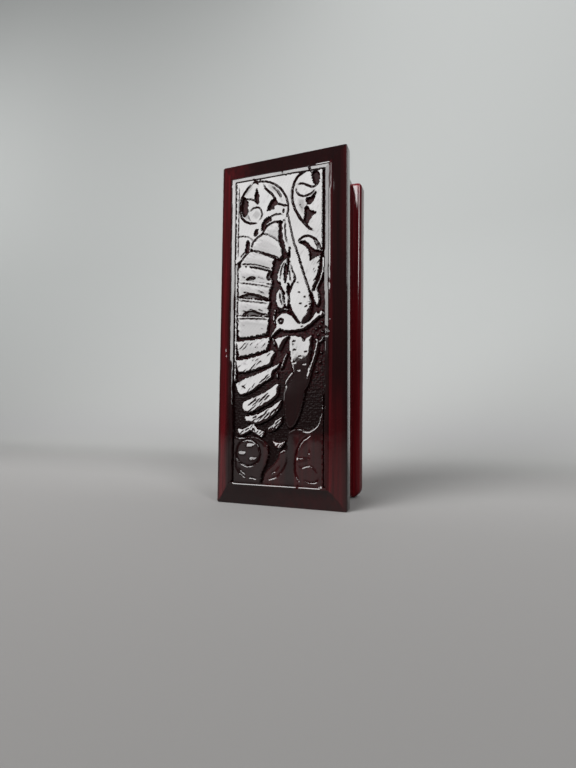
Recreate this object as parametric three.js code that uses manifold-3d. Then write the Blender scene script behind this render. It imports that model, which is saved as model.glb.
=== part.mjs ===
// A long, narrow wooden box with a hinged, bevelled lid, standing on one end.
// Millimetres. +X is to the right, +Y runs from the lid to the base board, +Z is up along the box.
// The origin is the middle of the standing end.

import * as THREE from "three";
import { mergeVertices } from "three/addons/utils/BufferGeometryUtils.js";
import Module from "manifold-3d";

const wasm = await Module();
wasm.setup();

// Boards: the whole box.
const boxLength = 280;
const bodyWidth = 89.6; // over the two long walls
const wallDepth = 50.1; // how far the walls stand between the lid and the base board
const wallThickness = 7;
const lidEdge = 9; // thickness of the lid's plain edge, behind the bevel
const lidOverhang = 9; // from each long wall out to the lid's edge
const baseThickness = 16;
const baseOverhang = 7.6; // from each long wall out to the base board's edge
const endInset = 2.5; // from the short edges of the lid and the base board in to the end walls
const rimGap = 0.3; // between the closed lid and the walls
const glueGap = 0.1; // between boards that are glued together

// Lid face: a bevelled border that climbs to a round bead, and a sunk field inside the bead.
const bevelRise = 4.3;
const beadProud = 0.7; // how far the bead's crest stands above the top of the bevel
const borderLeft = 11.2;
const borderRight = 12.7;
const borderTop = 14;
const borderBottom = 15.2;
const beadWidth = 4;
const beadRound = 1.4;
const fieldSink = 3; // from the bead's crest down to the ground of the carving

// Carving: the main raised forms in the field. Every point is a share of the field's width and of its height.
const carvingDrop = 0.1; // from the top of the bevel down to the tops of the raised forms
const carvingRoot = 1; // how far a raised form reaches into the ground
const outlineSteps = 2; // for each point of a smooth outline

// A fan of feathers fills the left side. Corners: lower left, lower right, upper right, upper left.
const featherShares = [
  [[0.354, 0.805], [0.502, 0.796], [0.502, 0.837], [0.38, 0.835]],
  [[0.19, 0.759], [0.532, 0.722], [0.512, 0.776], [0.255, 0.796]],
  [[0.067, 0.71], [0.425, 0.682], [0.447, 0.727], [0.177, 0.755]],
  [[0.042, 0.662], [0.422, 0.637], [0.418, 0.675], [0.05, 0.705]],
  [[0.042, 0.604], [0.396, 0.588], [0.422, 0.632], [0.041, 0.657]],
  [[0.04, 0.54], [0.394, 0.534], [0.41, 0.578], [0.04, 0.6]],
  [[0.057, 0.467], [0.378, 0.474], [0.394, 0.527], [0.038, 0.536]],
  [[0.058, 0.402], [0.379, 0.421], [0.412, 0.464], [0.024, 0.455]],
  [[0.05, 0.35], [0.42, 0.372], [0.46, 0.419], [0.015, 0.392]],
  [[0.042, 0.279], [0.437, 0.331], [0.528, 0.381], [0.018, 0.314]],
  [[0.13, 0.219], [0.5, 0.271], [0.515, 0.31], [0.113, 0.252]],
  [[0.182, 0.184], [0.512, 0.23], [0.544, 0.26], [0.135, 0.205]],
];

// The bird: its body, and the wings above and below it.
const bodyShares = [
  [0.427, 0.46], [0.486, 0.491], [0.473, 0.51], [0.512, 0.534], [0.579, 0.539], [0.671, 0.524],
  [0.724, 0.504], [0.816, 0.505], [0.909, 0.536], [0.944, 0.522], [0.856, 0.495], [0.763, 0.48],
  [0.618, 0.479], [0.526, 0.485],
];
const upperWingShares = [
  [0.594, 0.835], [0.61, 0.777], [0.629, 0.732], [0.638, 0.683], [0.687, 0.647], [0.639, 0.613],
  [0.631, 0.567], [0.68, 0.532], [0.75, 0.511], [0.843, 0.522], [0.85, 0.555], [0.8, 0.621],
  [0.724, 0.703], [0.647, 0.782],
];
const lowerWingShares = [
  [0.634, 0.464], [0.724, 0.46], [0.79, 0.446], [0.869, 0.462], [0.856, 0.411], [0.816, 0.312],
  [0.763, 0.234], [0.691, 0.181], [0.638, 0.17], [0.585, 0.221], [0.576, 0.287], [0.671, 0.345],
  [0.638, 0.394],
];

// Leaves between the fan and the bird.
const leafShares = [
  [[0.592, 0.72], [0.503, 0.681], [0.49, 0.648], [0.557, 0.611], [0.589, 0.6], [0.605, 0.646]],
  [[0.475, 0.58], [0.499, 0.616], [0.551, 0.6], [0.569, 0.567], [0.532, 0.552]],
  [[0.462, 0.456], [0.618, 0.466], [0.526, 0.418]],
];

// The top of the field stays high, down to the long leaf at the right, with hollows in and under its scrolls.
const topShares = [
  [0.014, 0.997], [0.967, 0.997], [0.967, 0.695], [0.922, 0.633], [0.869, 0.6], [0.79, 0.666],
  [0.711, 0.74], [0.645, 0.814], [0.605, 0.868], [0.572, 0.851], [0.407, 0.845], [0.301, 0.814],
  [0.202, 0.79], [0.169, 0.761], [0.057, 0.728], [0.014, 0.716],
];
const topHollowShares = [
  [[0.084, 0.946], [0.066, 0.909], [0.098, 0.879], [0.135, 0.901], [0.141, 0.924]],
  [[0.243, 0.967], [0.221, 0.934], [0.259, 0.915], [0.265, 0.942]],
  [[0.367, 0.887], [0.412, 0.917], [0.473, 0.909], [0.441, 0.893]],
  [[0.869, 0.99], [0.939, 0.979], [0.935, 0.959], [0.911, 0.951], [0.876, 0.967]],
  [[0.79, 0.872], [0.909, 0.856], [0.816, 0.823], [0.781, 0.839]],
  [[0.724, 0.765], [0.816, 0.746], [0.844, 0.702], [0.96, 0.724], [0.869, 0.74], [0.777, 0.768]],
];

// The bottom of the field stays high too, at the left and at the right of a channel.
const bottomShares = [
  [
    [0.018, 0.003], [0.018, 0.141], [0.248, 0.141], [0.4, 0.112], [0.407, 0.077], [0.341, 0.028],
    [0.317, 0.003],
  ],
  [
    [0.349, 0.003], [0.42, 0.042], [0.516, 0.077], [0.539, 0.096], [0.605, 0.106], [0.631, 0.16],
    [0.763, 0.167], [0.83, 0.165], [0.909, 0.176], [0.96, 0.201], [0.985, 0.25], [0.985, 0.003],
  ],
];

// Base board: rounded arrises, and a right edge that is planed a little out of square.
const baseArris = 3.5;
const baseTopCorner = 4;
const baseBottomCorner = 8;
const baseTaper = 2.6;

// Butt hinges, screwed into the corner under the lid's overhang.
const hingeLength = 28;
const hingeInset = 52; // from each end of the box to the middle of its hinge
const leafThickness = 1;
const boxLeafWidth = 11;
const leafMargin = 0.8; // from the lid leaf to the lid's edge
const leafSeat = 0.1; // between a leaf and the wood
const pinRadius = 0.9;
const pinClearance = 0.09;
const pinHeadRadius = 1.5;
const pinHeadHeight = 0.8;
const knuckleGap = 0.3; // between neighbouring knuckles
const middleKnuckleShare = 0.38; // of the hinge's length
const leafScrewSpreadShare = 0.62; // of the hinge's length, between the two screws of a leaf

// Screws.
const leafScrewHead = 1.7;
const leafScrewShank = 0.7;
const leafScrewBiteShare = 0.68; // of the thickness of the board that it goes into
const baseScrewHead = 3.1;
const baseScrewShank = 1.4;
const baseScrewBite = 14;
const baseScrewRows = 3;
const baseScrewInset = 30; // from each end of the box to its nearest screw
const slotWidthShare = 0.3; // of a head's radius
const slotDepthShare = 0.28; // of a head's radius
const holeClearance = 0.08;

const cutOverrun = 2;
const roundSteps = 24;
const cornerSteps = 5;
const arrisSteps = 4;

// Depths along Y, from the bead's crest to the back of the base board.
const lidRise = bevelRise + beadProud;
const boxDepth = lidRise + lidEdge + rimGap + wallDepth + glueGap + baseThickness;
const crestY = -boxDepth / 2;
const bevelTopY = crestY + beadProud;
const arrisY = crestY + lidRise;
const lidBackY = arrisY + lidEdge;
const rimY = lidBackY + rimGap;
const wallFootY = rimY + wallDepth;
const baseFrontY = wallFootY + glueGap;
const baseBackY = baseFrontY + baseThickness;
const wallMiddleY = (rimY + wallFootY) / 2;

// Places across X and along Z.
const wallOuterX = bodyWidth / 2;
const lidHalf = wallOuterX + lidOverhang;
const baseHalf = wallOuterX + baseOverhang;
const wallMiddleX = wallOuterX - wallThickness / 2;
const wallInnerX = wallOuterX - wallThickness;
const endWallWidth = 2 * (wallInnerX - glueGap);
const beadLeft = -lidHalf + borderLeft;
const beadRight = lidHalf - borderRight;
const beadBottom = borderBottom;
const beadTop = boxLength - borderTop;

// The hinge's axis stands in the corner between the lid's overhang and the wall.
const knuckleRadius = pinRadius + pinClearance + leafThickness;
const axisX = -wallOuterX - leafSeat - knuckleRadius;
const axisY = lidBackY + leafSeat + knuckleRadius;
const lidLeafReach = axisX + lidHalf - leafMargin;
const hingeHeights = [boxLength - hingeInset, hingeInset];

const wood = { color: 0x3a0f14, roughness: 0.25, metalness: 0 };
const brass = { color: 0xb08d4a, roughness: 0.35, metalness: 1 };
const steel = { color: 0x8d8a86, roughness: 0.4, metalness: 1 };

// A closed geometry as a solid that can be cut and joined.
function solidFrom(geometry) {
  const plain = geometry.clone();
  plain.deleteAttribute("normal");
  plain.deleteAttribute("uv");
  const merged = mergeVertices(plain);
  return new wasm.Manifold(
    new wasm.Mesh({
      numProp: 3,
      vertProperties: merged.attributes.position.array,
      triVerts: new Uint32Array(merged.index.array),
    }),
  );
}

function geometryFrom(solid) {
  const cut = solid.getMesh();
  const geometry = new THREE.BufferGeometry();
  geometry.setAttribute("position", new THREE.BufferAttribute(cut.vertProperties, 3));
  geometry.setIndex(new THREE.BufferAttribute(cut.triVerts, 1));
  geometry.computeVertexNormals();
  return geometry;
}

function meshOf(name, geometry, finish) {
  const mesh = new THREE.Mesh(geometry, new THREE.MeshStandardMaterial(finish));
  mesh.name = name;
  return mesh;
}

// A box between two corners.
function blockBetween(low, high) {
  const block = new THREE.BoxGeometry(high[0] - low[0], high[1] - low[1], high[2] - low[2]);
  block.translate((low[0] + high[0]) / 2, (low[1] + high[1]) / 2, (low[2] + high[2]) / 2);
  return block;
}

// The outline of a screw from the flat of its head, at height zero, down to its point.
// With a clearance it is the outline of the hole that the screw sits in.
function screwProfile(head, shank, length, clearance) {
  const coneHeight = head - shank;
  const pointHeight = 2 * shank;
  const profile = [
    [0, -length - clearance],
    [shank + clearance, -length + pointHeight],
    [shank + clearance, -coneHeight - clearance],
    [head + clearance, -clearance],
  ];
  profile.push(clearance > 0 ? [head + clearance, head] : [head, 0]);
  profile.push(clearance > 0 ? [0, head] : [0, 0]);
  return profile.map(([radius, height]) => new THREE.Vector2(radius, height));
}

// A countersunk wood screw whose head faces +Y, with a slot across the head.
function screwGeometry(head, shank, length) {
  const body = new THREE.LatheGeometry(screwProfile(head, shank, length, 0), roundSteps);
  const halfSlot = (slotWidthShare * head) / 2;
  const slot = blockBetween(
    [-head - cutOverrun, -slotDepthShare * head, -halfSlot],
    [head + cutOverrun, cutOverrun, halfSlot],
  );
  return geometryFrom(solidFrom(body).subtract(solidFrom(slot)));
}

function screwHole(head, shank, length) {
  return new THREE.LatheGeometry(screwProfile(head, shank, length, holeClearance), roundSteps);
}

// Turns a shape whose head faces +Y so that the head faces -X, then moves it to its place.
function facingLeft(geometry, place) {
  return geometry.rotateZ(Math.PI / 2).translate(...place);
}

function facingBack(geometry, place) {
  return geometry.translate(...place);
}

// Screw places.
const leafScrewRise = (leafScrewSpreadShare * hingeLength) / 2;
const leafScrewHeights = hingeHeights.flatMap((height) => [height + leafScrewRise, height - leafScrewRise]);
const lidLeafFaceY = lidBackY + leafSeat + leafThickness;
const boxLeafFaceX = -wallOuterX - leafSeat - leafThickness;
const lidScrewX = axisX - (knuckleRadius + lidLeafReach) / 2;
const boxScrewY = axisY + (knuckleRadius + boxLeafWidth) / 2;
const lidScrewLength = leafThickness + leafSeat + leafScrewBiteShare * lidEdge;
const boxScrewLength = leafThickness + leafSeat + leafScrewBiteShare * wallThickness;
const baseScrewLength = baseThickness + glueGap + baseScrewBite;
const lidScrewPlaces = leafScrewHeights.map((height) => [lidScrewX, lidLeafFaceY, height]);
const boxScrewPlaces = leafScrewHeights.map((height) => [boxLeafFaceX, boxScrewY, height]);

// The base screws stand in one row along each long wall.
function baseScrewPlacesAlong(x) {
  const step = (boxLength - 2 * baseScrewInset) / (baseScrewRows - 1);
  return Array.from({ length: baseScrewRows }, (_, row) => [x, baseBackY, baseScrewInset + row * step]);
}
const hingeSideScrewPlaces = baseScrewPlacesAlong(-wallMiddleX);
const openingSideScrewPlaces = baseScrewPlacesAlong(wallMiddleX);
const baseScrewPlaces = [...hingeSideScrewPlaces, ...openingSideScrewPlaces];

function withHoles(geometry, holes) {
  const cut = holes.reduce((left, hole) => left.subtract(solidFrom(hole)), solidFrom(geometry));
  return geometryFrom(cut);
}

function baseScrewHole(place) {
  return facingBack(screwHole(baseScrewHead, baseScrewShank, baseScrewLength), place);
}

// The lid's plank: a plain edge at the back, and a bevel that climbs from the arris to the bead.
function lidPlank() {
  const plank = new THREE.BoxGeometry(1, 1, 1, 1, 2, 1);
  const corner = plank.attributes.position;
  for (let index = 0; index < corner.count; index += 1) {
    const right = corner.getX(index) > 0;
    const top = corner.getZ(index) > 0;
    const depth = corner.getY(index);
    if (depth < 0) {
      corner.setXYZ(index, right ? beadRight : beadLeft, bevelTopY, top ? beadTop : beadBottom);
    } else {
      const y = depth > 0 ? lidBackY : arrisY;
      corner.setXYZ(index, right ? lidHalf : -lidHalf, y, top ? boxLength : 0);
    }
  }
  return plank;
}

function rectangle(left, right, bottom, top) {
  const corners = [[left, bottom], [right, bottom], [right, top], [left, top]];
  return corners.map(([x, z]) => new THREE.Vector2(x, z));
}

// The bead: a frame with rounded edges, half sunk into the plank.
function beadFrame() {
  const frame = new THREE.Shape(rectangle(beadLeft, beadRight, beadBottom, beadTop));
  const inside = rectangle(
    beadLeft + beadWidth,
    beadRight - beadWidth,
    beadBottom + beadWidth,
    beadTop - beadWidth,
  );
  frame.holes.push(new THREE.Path(inside));
  const frameDepth = beadProud + fieldSink;
  const bead = new THREE.ExtrudeGeometry(frame, {
    depth: frameDepth - beadRound,
    bevelEnabled: true,
    bevelThickness: beadRound,
    bevelSize: beadRound,
    bevelOffset: -beadRound,
    bevelSegments: arrisSteps,
  });
  // The outline is drawn in X and Z, and the frame's depth then runs from the crest into the plank.
  bead.rotateX(Math.PI / 2);
  return bead.translate(0, crestY + frameDepth, 0);
}

function fieldPocket() {
  return blockBetween(
    [beadLeft + beadWidth, crestY - cutOverrun, beadBottom + beadWidth],
    [beadRight - beadWidth, crestY + fieldSink, beadTop - beadWidth],
  );
}

// A place in the field, from its shares of the field's width and height.
function inField([acrossShare, upShare]) {
  const left = beadLeft + beadWidth;
  const right = beadRight - beadWidth;
  const bottom = beadBottom + beadWidth;
  const top = beadTop - beadWidth;
  return new THREE.Vector2(left + acrossShare * (right - left), bottom + upShare * (top - bottom));
}

function straightOutline(shares) {
  return shares.map(inField);
}

function smoothOutline(shares) {
  const knots = shares.map(inField).map((place) => new THREE.Vector3(place.x, place.y, 0));
  const curve = new THREE.CatmullRomCurve3(knots, true, "centripetal");
  const steps = outlineSteps * shares.length;
  return curve.getPoints(steps).slice(0, steps).map((place) => new THREE.Vector2(place.x, place.y));
}

// A form that stands on the ground of the field.
function raisedForm(outline) {
  const groundY = crestY + fieldSink;
  const rise = groundY - bevelTopY - carvingDrop;
  const extrusion = { depth: rise + carvingRoot, bevelEnabled: false };
  const block = new THREE.ExtrudeGeometry(new THREE.Shape(outline), extrusion);
  block.rotateX(Math.PI / 2);
  return solidFrom(block.translate(0, groundY + carvingRoot, 0));
}

function carving() {
  const smooth = [bodyShares, upperWingShares, lowerWingShares, ...leafShares].map(smoothOutline);
  const straight = [topShares, ...featherShares, ...bottomShares].map(straightOutline);
  const raised = [...smooth, ...straight].map(raisedForm);
  const hollows = topHollowShares.map(straightOutline).map(raisedForm);
  return wasm.Manifold.union(raised).subtract(wasm.Manifold.union(hollows));
}

function lidBoard() {
  const lidHoles = lidScrewPlaces.map((place) =>
    facingBack(screwHole(leafScrewHead, leafScrewShank, lidScrewLength), place),
  );
  const sunk = solidFrom(lidPlank()).add(solidFrom(beadFrame())).subtract(solidFrom(fieldPocket()));
  return withHoles(geometryFrom(sunk.add(carving())), lidHoles);
}

// A long wall, from one end of the box to the other.
function longWall(side, holes) {
  const inner = side * wallInnerX;
  const outer = side * wallOuterX;
  const board = blockBetween(
    [Math.min(inner, outer), rimY, endInset],
    [Math.max(inner, outer), wallFootY, boxLength - endInset],
  );
  return withHoles(board, holes);
}

function hingeSideWall() {
  const leafHoles = boxScrewPlaces.map((place) =>
    facingLeft(screwHole(leafScrewHead, leafScrewShank, boxScrewLength), place),
  );
  return longWall(-1, [...hingeSideScrewPlaces.map(baseScrewHole), ...leafHoles]);
}

function openingSideWall() {
  return longWall(1, openingSideScrewPlaces.map(baseScrewHole));
}

// An end wall fits between the long walls.
function endWall() {
  return new THREE.BoxGeometry(endWallWidth, wallDepth, wallThickness);
}

// The base board's outline, in X and Z, with round corners and the tapered right edge.
function baseOutline() {
  const quarter = Math.PI / 2;
  const low = baseBottomCorner;
  const high = baseTopCorner;
  const bottomRight = baseHalf - baseTaper;
  const outline = new THREE.Shape();
  outline.absarc(bottomRight - low, low, low, -quarter, 0);
  outline.absarc(baseHalf - high, boxLength - high, high, 0, quarter);
  outline.absarc(-baseHalf + high, boxLength - high, high, quarter, 2 * quarter);
  outline.absarc(-baseHalf + low, low, low, 2 * quarter, 3 * quarter);
  return outline;
}

function baseBoard() {
  const board = new THREE.ExtrudeGeometry(baseOutline(), {
    depth: baseThickness - 2 * baseArris,
    curveSegments: cornerSteps,
    bevelEnabled: true,
    bevelThickness: baseArris,
    bevelSize: baseArris,
    bevelOffset: -baseArris,
    bevelSegments: arrisSteps,
  });
  board.rotateX(Math.PI / 2);
  board.translate(0, baseBackY - baseArris, 0);
  return withHoles(board, baseScrewPlaces.map(baseScrewHole));
}

// A length of hinge barrel on the pin's axis, with the bore for the pin.
function knuckle(bottom, top) {
  const barrel = new THREE.CylinderGeometry(knuckleRadius, knuckleRadius, top - bottom, roundSteps);
  barrel.rotateX(Math.PI / 2).translate(axisX, axisY, (bottom + top) / 2);
  return barrel;
}

function pinBore(bottom, top) {
  const boreRadius = pinRadius + pinClearance;
  const bore = new THREE.CylinderGeometry(boreRadius, boreRadius, top - bottom + 2 * cutOverrun, roundSteps);
  bore.rotateX(Math.PI / 2).translate(axisX, axisY, (bottom + top) / 2);
  return bore;
}

// Places along one hinge, from the height of its middle.
function hingeStations(middle) {
  const halfMiddleKnuckle = (middleKnuckleShare * hingeLength) / 2;
  return {
    bottom: middle - hingeLength / 2,
    lower: middle - halfMiddleKnuckle,
    upper: middle + halfMiddleKnuckle,
    top: middle + hingeLength / 2,
  };
}

// The lid's leaf lies under the overhang and carries the middle knuckle.
function lidLeaf(middle) {
  const at = hingeStations(middle);
  const outerX = axisX - lidLeafReach;
  const plateTop = lidBackY + leafSeat;
  const plate = blockBetween(
    [outerX, plateTop, at.bottom],
    [axisX - knuckleRadius - knuckleGap, lidLeafFaceY, at.top],
  );
  const neck = blockBetween([outerX, plateTop, at.lower], [axisX, lidLeafFaceY, at.upper]);
  const leaf = solidFrom(plate).add(solidFrom(neck)).add(solidFrom(knuckle(at.lower, at.upper)));
  const holes = lidScrewPlaces.map((place) =>
    facingBack(screwHole(leafScrewHead, leafScrewShank, lidScrewLength), place),
  );
  return withHoles(geometryFrom(leaf), [pinBore(at.lower, at.upper), ...holes]);
}

// The box's leaf lies on the wall and carries the two outer knuckles.
function boxLeaf(middle) {
  const at = hingeStations(middle);
  const plateRight = -wallOuterX - leafSeat;
  const farY = axisY + boxLeafWidth;
  const plate = blockBetween(
    [boxLeafFaceX, axisY + knuckleRadius + knuckleGap, at.bottom],
    [plateRight, farY, at.top],
  );
  const ends = [[at.bottom, at.lower - knuckleGap], [at.upper + knuckleGap, at.top]];
  const leaf = ends.reduce((joined, [low, high]) => {
    const neck = blockBetween([boxLeafFaceX, axisY, low], [plateRight, farY, high]);
    return joined.add(solidFrom(neck)).add(solidFrom(knuckle(low, high)));
  }, solidFrom(plate));
  const holes = boxScrewPlaces.map((place) =>
    facingLeft(screwHole(leafScrewHead, leafScrewShank, boxScrewLength), place),
  );
  return withHoles(geometryFrom(leaf), [pinBore(at.bottom, at.top), ...holes]);
}

// The pin has a rounded head at each end, clear of the knuckles.
function hingePin(middle) {
  const shankTop = hingeLength / 2 + pinClearance;
  const headTop = shankTop + pinHeadHeight;
  const profile = [
    [0, -headTop],
    [pinRadius, -headTop],
    [pinHeadRadius, -shankTop - pinHeadHeight / 2],
    [pinHeadRadius, -shankTop],
    [pinRadius, -shankTop],
    [pinRadius, shankTop],
    [pinHeadRadius, shankTop],
    [pinHeadRadius, shankTop + pinHeadHeight / 2],
    [pinRadius, headTop],
    [0, headTop],
  ];
  const outline = profile.map(([radius, height]) => new THREE.Vector2(radius, height));
  const pin = new THREE.LatheGeometry(outline, roundSteps);
  return pin.rotateX(Math.PI / 2).translate(axisX, axisY, middle);
}

// The box: walls, base board, and what is fastened to them.
const box = new THREE.Group();
box.add(meshOf("hinge_side_wall", hingeSideWall(), wood));
box.add(meshOf("opening_side_wall", openingSideWall(), wood));

const topEndWall = meshOf("top_end_wall", endWall(), wood);
topEndWall.position.set(0, wallMiddleY, boxLength - endInset - wallThickness / 2);
box.add(topEndWall);

const bottomEndWall = meshOf("bottom_end_wall", endWall(), wood);
bottomEndWall.position.set(0, wallMiddleY, endInset + wallThickness / 2);
box.add(bottomEndWall);

box.add(meshOf("base_board", baseBoard(), wood));

// The lid: its board, and the leaves and screws that swing with it.
const lid = new THREE.Group();
lid.add(meshOf("lid_board", lidBoard(), wood));

const hingeNames = ["top_hinge", "bottom_hinge"];
hingeNames.forEach((name, index) => {
  const middle = hingeHeights[index];
  lid.add(meshOf(`${name}_lid_leaf`, lidLeaf(middle), brass));
  box.add(meshOf(`${name}_box_leaf`, boxLeaf(middle), brass));
  box.add(meshOf(`${name}_pin`, hingePin(middle), brass));
});

lidScrewPlaces.forEach((place, index) => {
  const screw = meshOf(
    `lid_leaf_screw_${index + 1}`,
    screwGeometry(leafScrewHead, leafScrewShank, lidScrewLength),
    brass,
  );
  screw.position.set(...place);
  lid.add(screw);
});

boxScrewPlaces.forEach((place, index) => {
  const screw = meshOf(
    `box_leaf_screw_${index + 1}`,
    screwGeometry(leafScrewHead, leafScrewShank, boxScrewLength),
    brass,
  );
  screw.position.set(...place);
  screw.rotation.z = Math.PI / 2;
  box.add(screw);
});

baseScrewPlaces.forEach((place, index) => {
  const screw = meshOf(
    `base_screw_${index + 1}`,
    screwGeometry(baseScrewHead, baseScrewShank, baseScrewLength),
    steel,
  );
  screw.position.set(...place);
  box.add(screw);
});

const carvedBox = new THREE.Group();
carvedBox.add(box, lid);

export default carvedBox;
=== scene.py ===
# %% [markdown]
# A carved wooden box stands on one end, with its lid towards us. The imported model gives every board,
# hinge leaf, pin and screw at its true size and place. This lesson dresses it: first the camera, the
# floor and the lamps, then the finishes, and then each piece. The carved lid comes last among the boards,
# because it takes the most work.

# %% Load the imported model
import math

import bmesh
import bpy
import numpy as np
from mathutils import Matrix, Vector


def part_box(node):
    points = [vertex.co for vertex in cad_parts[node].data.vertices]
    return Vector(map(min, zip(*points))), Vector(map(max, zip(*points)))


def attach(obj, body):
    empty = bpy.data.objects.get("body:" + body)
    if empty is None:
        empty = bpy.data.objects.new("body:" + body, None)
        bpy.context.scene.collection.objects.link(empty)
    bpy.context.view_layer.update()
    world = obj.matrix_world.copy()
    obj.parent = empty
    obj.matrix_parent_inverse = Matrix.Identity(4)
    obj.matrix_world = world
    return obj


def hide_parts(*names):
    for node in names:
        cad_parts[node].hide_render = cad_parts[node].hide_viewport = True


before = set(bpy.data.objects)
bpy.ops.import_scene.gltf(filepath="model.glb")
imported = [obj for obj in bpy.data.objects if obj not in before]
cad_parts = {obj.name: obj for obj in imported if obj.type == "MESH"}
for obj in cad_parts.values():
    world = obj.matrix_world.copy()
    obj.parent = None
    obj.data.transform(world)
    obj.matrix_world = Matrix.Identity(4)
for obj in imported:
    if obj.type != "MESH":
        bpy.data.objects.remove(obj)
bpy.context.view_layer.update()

MM = 0.001

# %% [markdown]
# The camera stands low, in front of the lid and to its right, and looks a little to the left and up. Its
# place and turn were worked out from the corners of the lid, so that the boards fall where they do in the
# picture.

# %% Camera
PICTURE_WIDTH = 576
PICTURE_HEIGHT = 768
LENS_IN_PIXELS = 460
SENSOR_LONG_SIDE = 36.0
CAMERA_FROM_LID = 329.4 * MM
CAMERA_SIDE = 133.1 * MM
CAMERA_HEIGHT = 69.8 * MM
CAMERA_YAW = math.radians(20.71)
CAMERA_PITCH = math.radians(4.0)
CAMERA_ROLL = math.radians(0.51)
CLIP_START = 10 * MM

lid_low, lid_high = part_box("lid_board")
camera_place = Vector((CAMERA_SIDE, lid_low.y - CAMERA_FROM_LID, CAMERA_HEIGHT))
bpy.ops.object.camera_add()
camera = bpy.context.object
camera.name = "camera"
camera.data.clip_start = CLIP_START
camera.data.sensor_width = SENSOR_LONG_SIDE
camera.data.lens = LENS_IN_PIXELS * SENSOR_LONG_SIDE / PICTURE_HEIGHT
yaw = Matrix.Rotation(CAMERA_YAW, 3, "Z")
ahead = yaw @ Vector((0, math.cos(CAMERA_PITCH), math.sin(CAMERA_PITCH)))
level_right = yaw @ Vector((1, 0, 0))
level_up = level_right.cross(ahead)
camera_right = level_right * math.cos(CAMERA_ROLL) + level_up * math.sin(CAMERA_ROLL)
camera_up = level_up * math.cos(CAMERA_ROLL) - level_right * math.sin(CAMERA_ROLL)
turn = Matrix((camera_right, camera_up, -ahead)).transposed().to_4x4()
camera.matrix_world = Matrix.Translation(camera_place) @ turn
bpy.context.scene.camera = camera
print("the lens is", round(camera.data.lens, 2), "mm on a", SENSOR_LONG_SIDE, "mm sensor")

# %% [markdown]
# Colours are written as sRGB hex values, the way they are read off a screen, and Blender's nodes want
# them linear. One function does that. A second adds a node, sets it up and links it, and every material
# is made with it.

# %% Helpers for materials
def linear(hex_colour):
    """The linear values of a hex colour, with an alpha of one."""
    parts = [int(hex_colour[at:at + 2], 16) / 255 for at in (1, 3, 5)]
    curve = [part / 12.92 if part <= 0.04045 else ((part + 0.055) / 1.055) ** 2.4 for part in parts]
    return (*curve, 1.0)


def add_node(tree, kind, settings=None, **inputs):
    """A node of that kind, with its settings, and with values or links for its inputs."""
    node = tree.nodes.new(kind)
    for name, value in (settings or {}).items():
        setattr(node, name, value)
    for name, value in inputs.items():
        socket = node.inputs[int(name[1:])] if name[1:].isdigit() else node.inputs[name.replace("_", " ")]
        if isinstance(value, bpy.types.NodeSocket):
            tree.links.new(value, socket)
        else:
            socket.default_value = value
    return node


def ramp_between(tree, factor, stops):
    """A colour ramp with a stop for each (place, colour) pair."""
    ramp = add_node(tree, "ShaderNodeValToRGB", Fac=factor)
    points = ramp.color_ramp.elements
    while len(points) < len(stops):
        points.new(0.5)
    for point, (place, colour) in zip(points, stops):
        point.position = place
        point.color = linear(colour)
    return ramp.outputs["Color"]


def new_material(name):
    """A material with an empty node tree, and that tree."""
    material = bpy.data.materials.new(name)
    material.use_nodes = True
    material.node_tree.nodes.clear()
    return material, material.node_tree


def deselect_all():
    """Leaves edit mode where it is on, and selects nothing."""
    if bpy.context.object and bpy.context.object.mode != "OBJECT":
        bpy.ops.object.mode_set(mode="OBJECT")
    bpy.ops.object.select_all(action="DESELECT")


print("white is", linear("#ffffff")[:3], "and the photo's mid grey is", round(linear("#b9b9b9")[0], 3))

# %% [markdown]
# The floor is a plain pale sheet that curves up into a wall behind the box, as a paper sweep does. A
# plane gets its far edge pulled up, and the crease is bevelled into a wide curve, so that no line shows
# where the floor ends.

# %% Floor and backdrop
FLOOR_WIDTH = 12.0
SWEEP_BACK = 0.95
SWEEP_RADIUS = 0.62
SWEEP_SEGMENTS = 32
WALL_HEIGHT = 2.6

deselect_all()
bpy.ops.mesh.primitive_plane_add(size=FLOOR_WIDTH, location=(0, SWEEP_BACK - FLOOR_WIDTH / 2, 0))
floor = bpy.context.object
floor.name = "floor_sweep"
bpy.ops.object.transform_apply(location=True, rotation=True, scale=True)
bpy.ops.object.mode_set(mode="EDIT")
bpy.ops.mesh.select_mode(type="EDGE")
shape = bmesh.from_edit_mesh(floor.data)


def far_edges(height_test):
    """Selects the edges along the sweep's back that pass the test, and leaves the others out."""
    for edge in shape.edges:
        back = all(abs(corner.co.y - SWEEP_BACK) < MM for corner in edge.verts)
        edge.select_set(back and height_test(edge))
    bmesh.update_edit_mesh(floor.data)


far_edges(lambda edge: True)
bpy.ops.mesh.extrude_edges_move(TRANSFORM_OT_translate={"value": (0, 0, WALL_HEIGHT)})
shape = bmesh.from_edit_mesh(floor.data)
bpy.ops.mesh.select_all(action="DESELECT")
far_edges(lambda edge: max(corner.co.z for corner in edge.verts) < MM)
bpy.ops.mesh.bevel(offset=SWEEP_RADIUS, segments=SWEEP_SEGMENTS, affect="EDGES")
bpy.ops.object.mode_set(mode="OBJECT")
bpy.ops.object.shade_smooth()
print("the sweep has", len(floor.data.polygons), "faces")

# %% [markdown]
# The paper's colour gets paler with depth, by a ramp along its own Y. That is painted shade: the tone stands
# in for the light falling off towards the front. A fine mottle keeps it from looking like plastic.

# %% Paper
TONE_START = -0.9
PAPER_TONES_WITH_PAINTED_SHADE = [
    (0, "#3c3c3c"), (0.3, "#5b5a59"), (0.36, "#666564"), (0.45, "#757473"), (0.52, "#838281"),
    (0.6, "#888786"), (0.72, "#989897"), (0.78, "#989898"), (0.86, "#9a9b9a"), (1, "#9c9e9d"),
]
MOTTLE_SCALE = 260.0
PAPER_TOOTH = 0.2 * MM
PAPER_SPECULAR = 0.2

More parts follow.
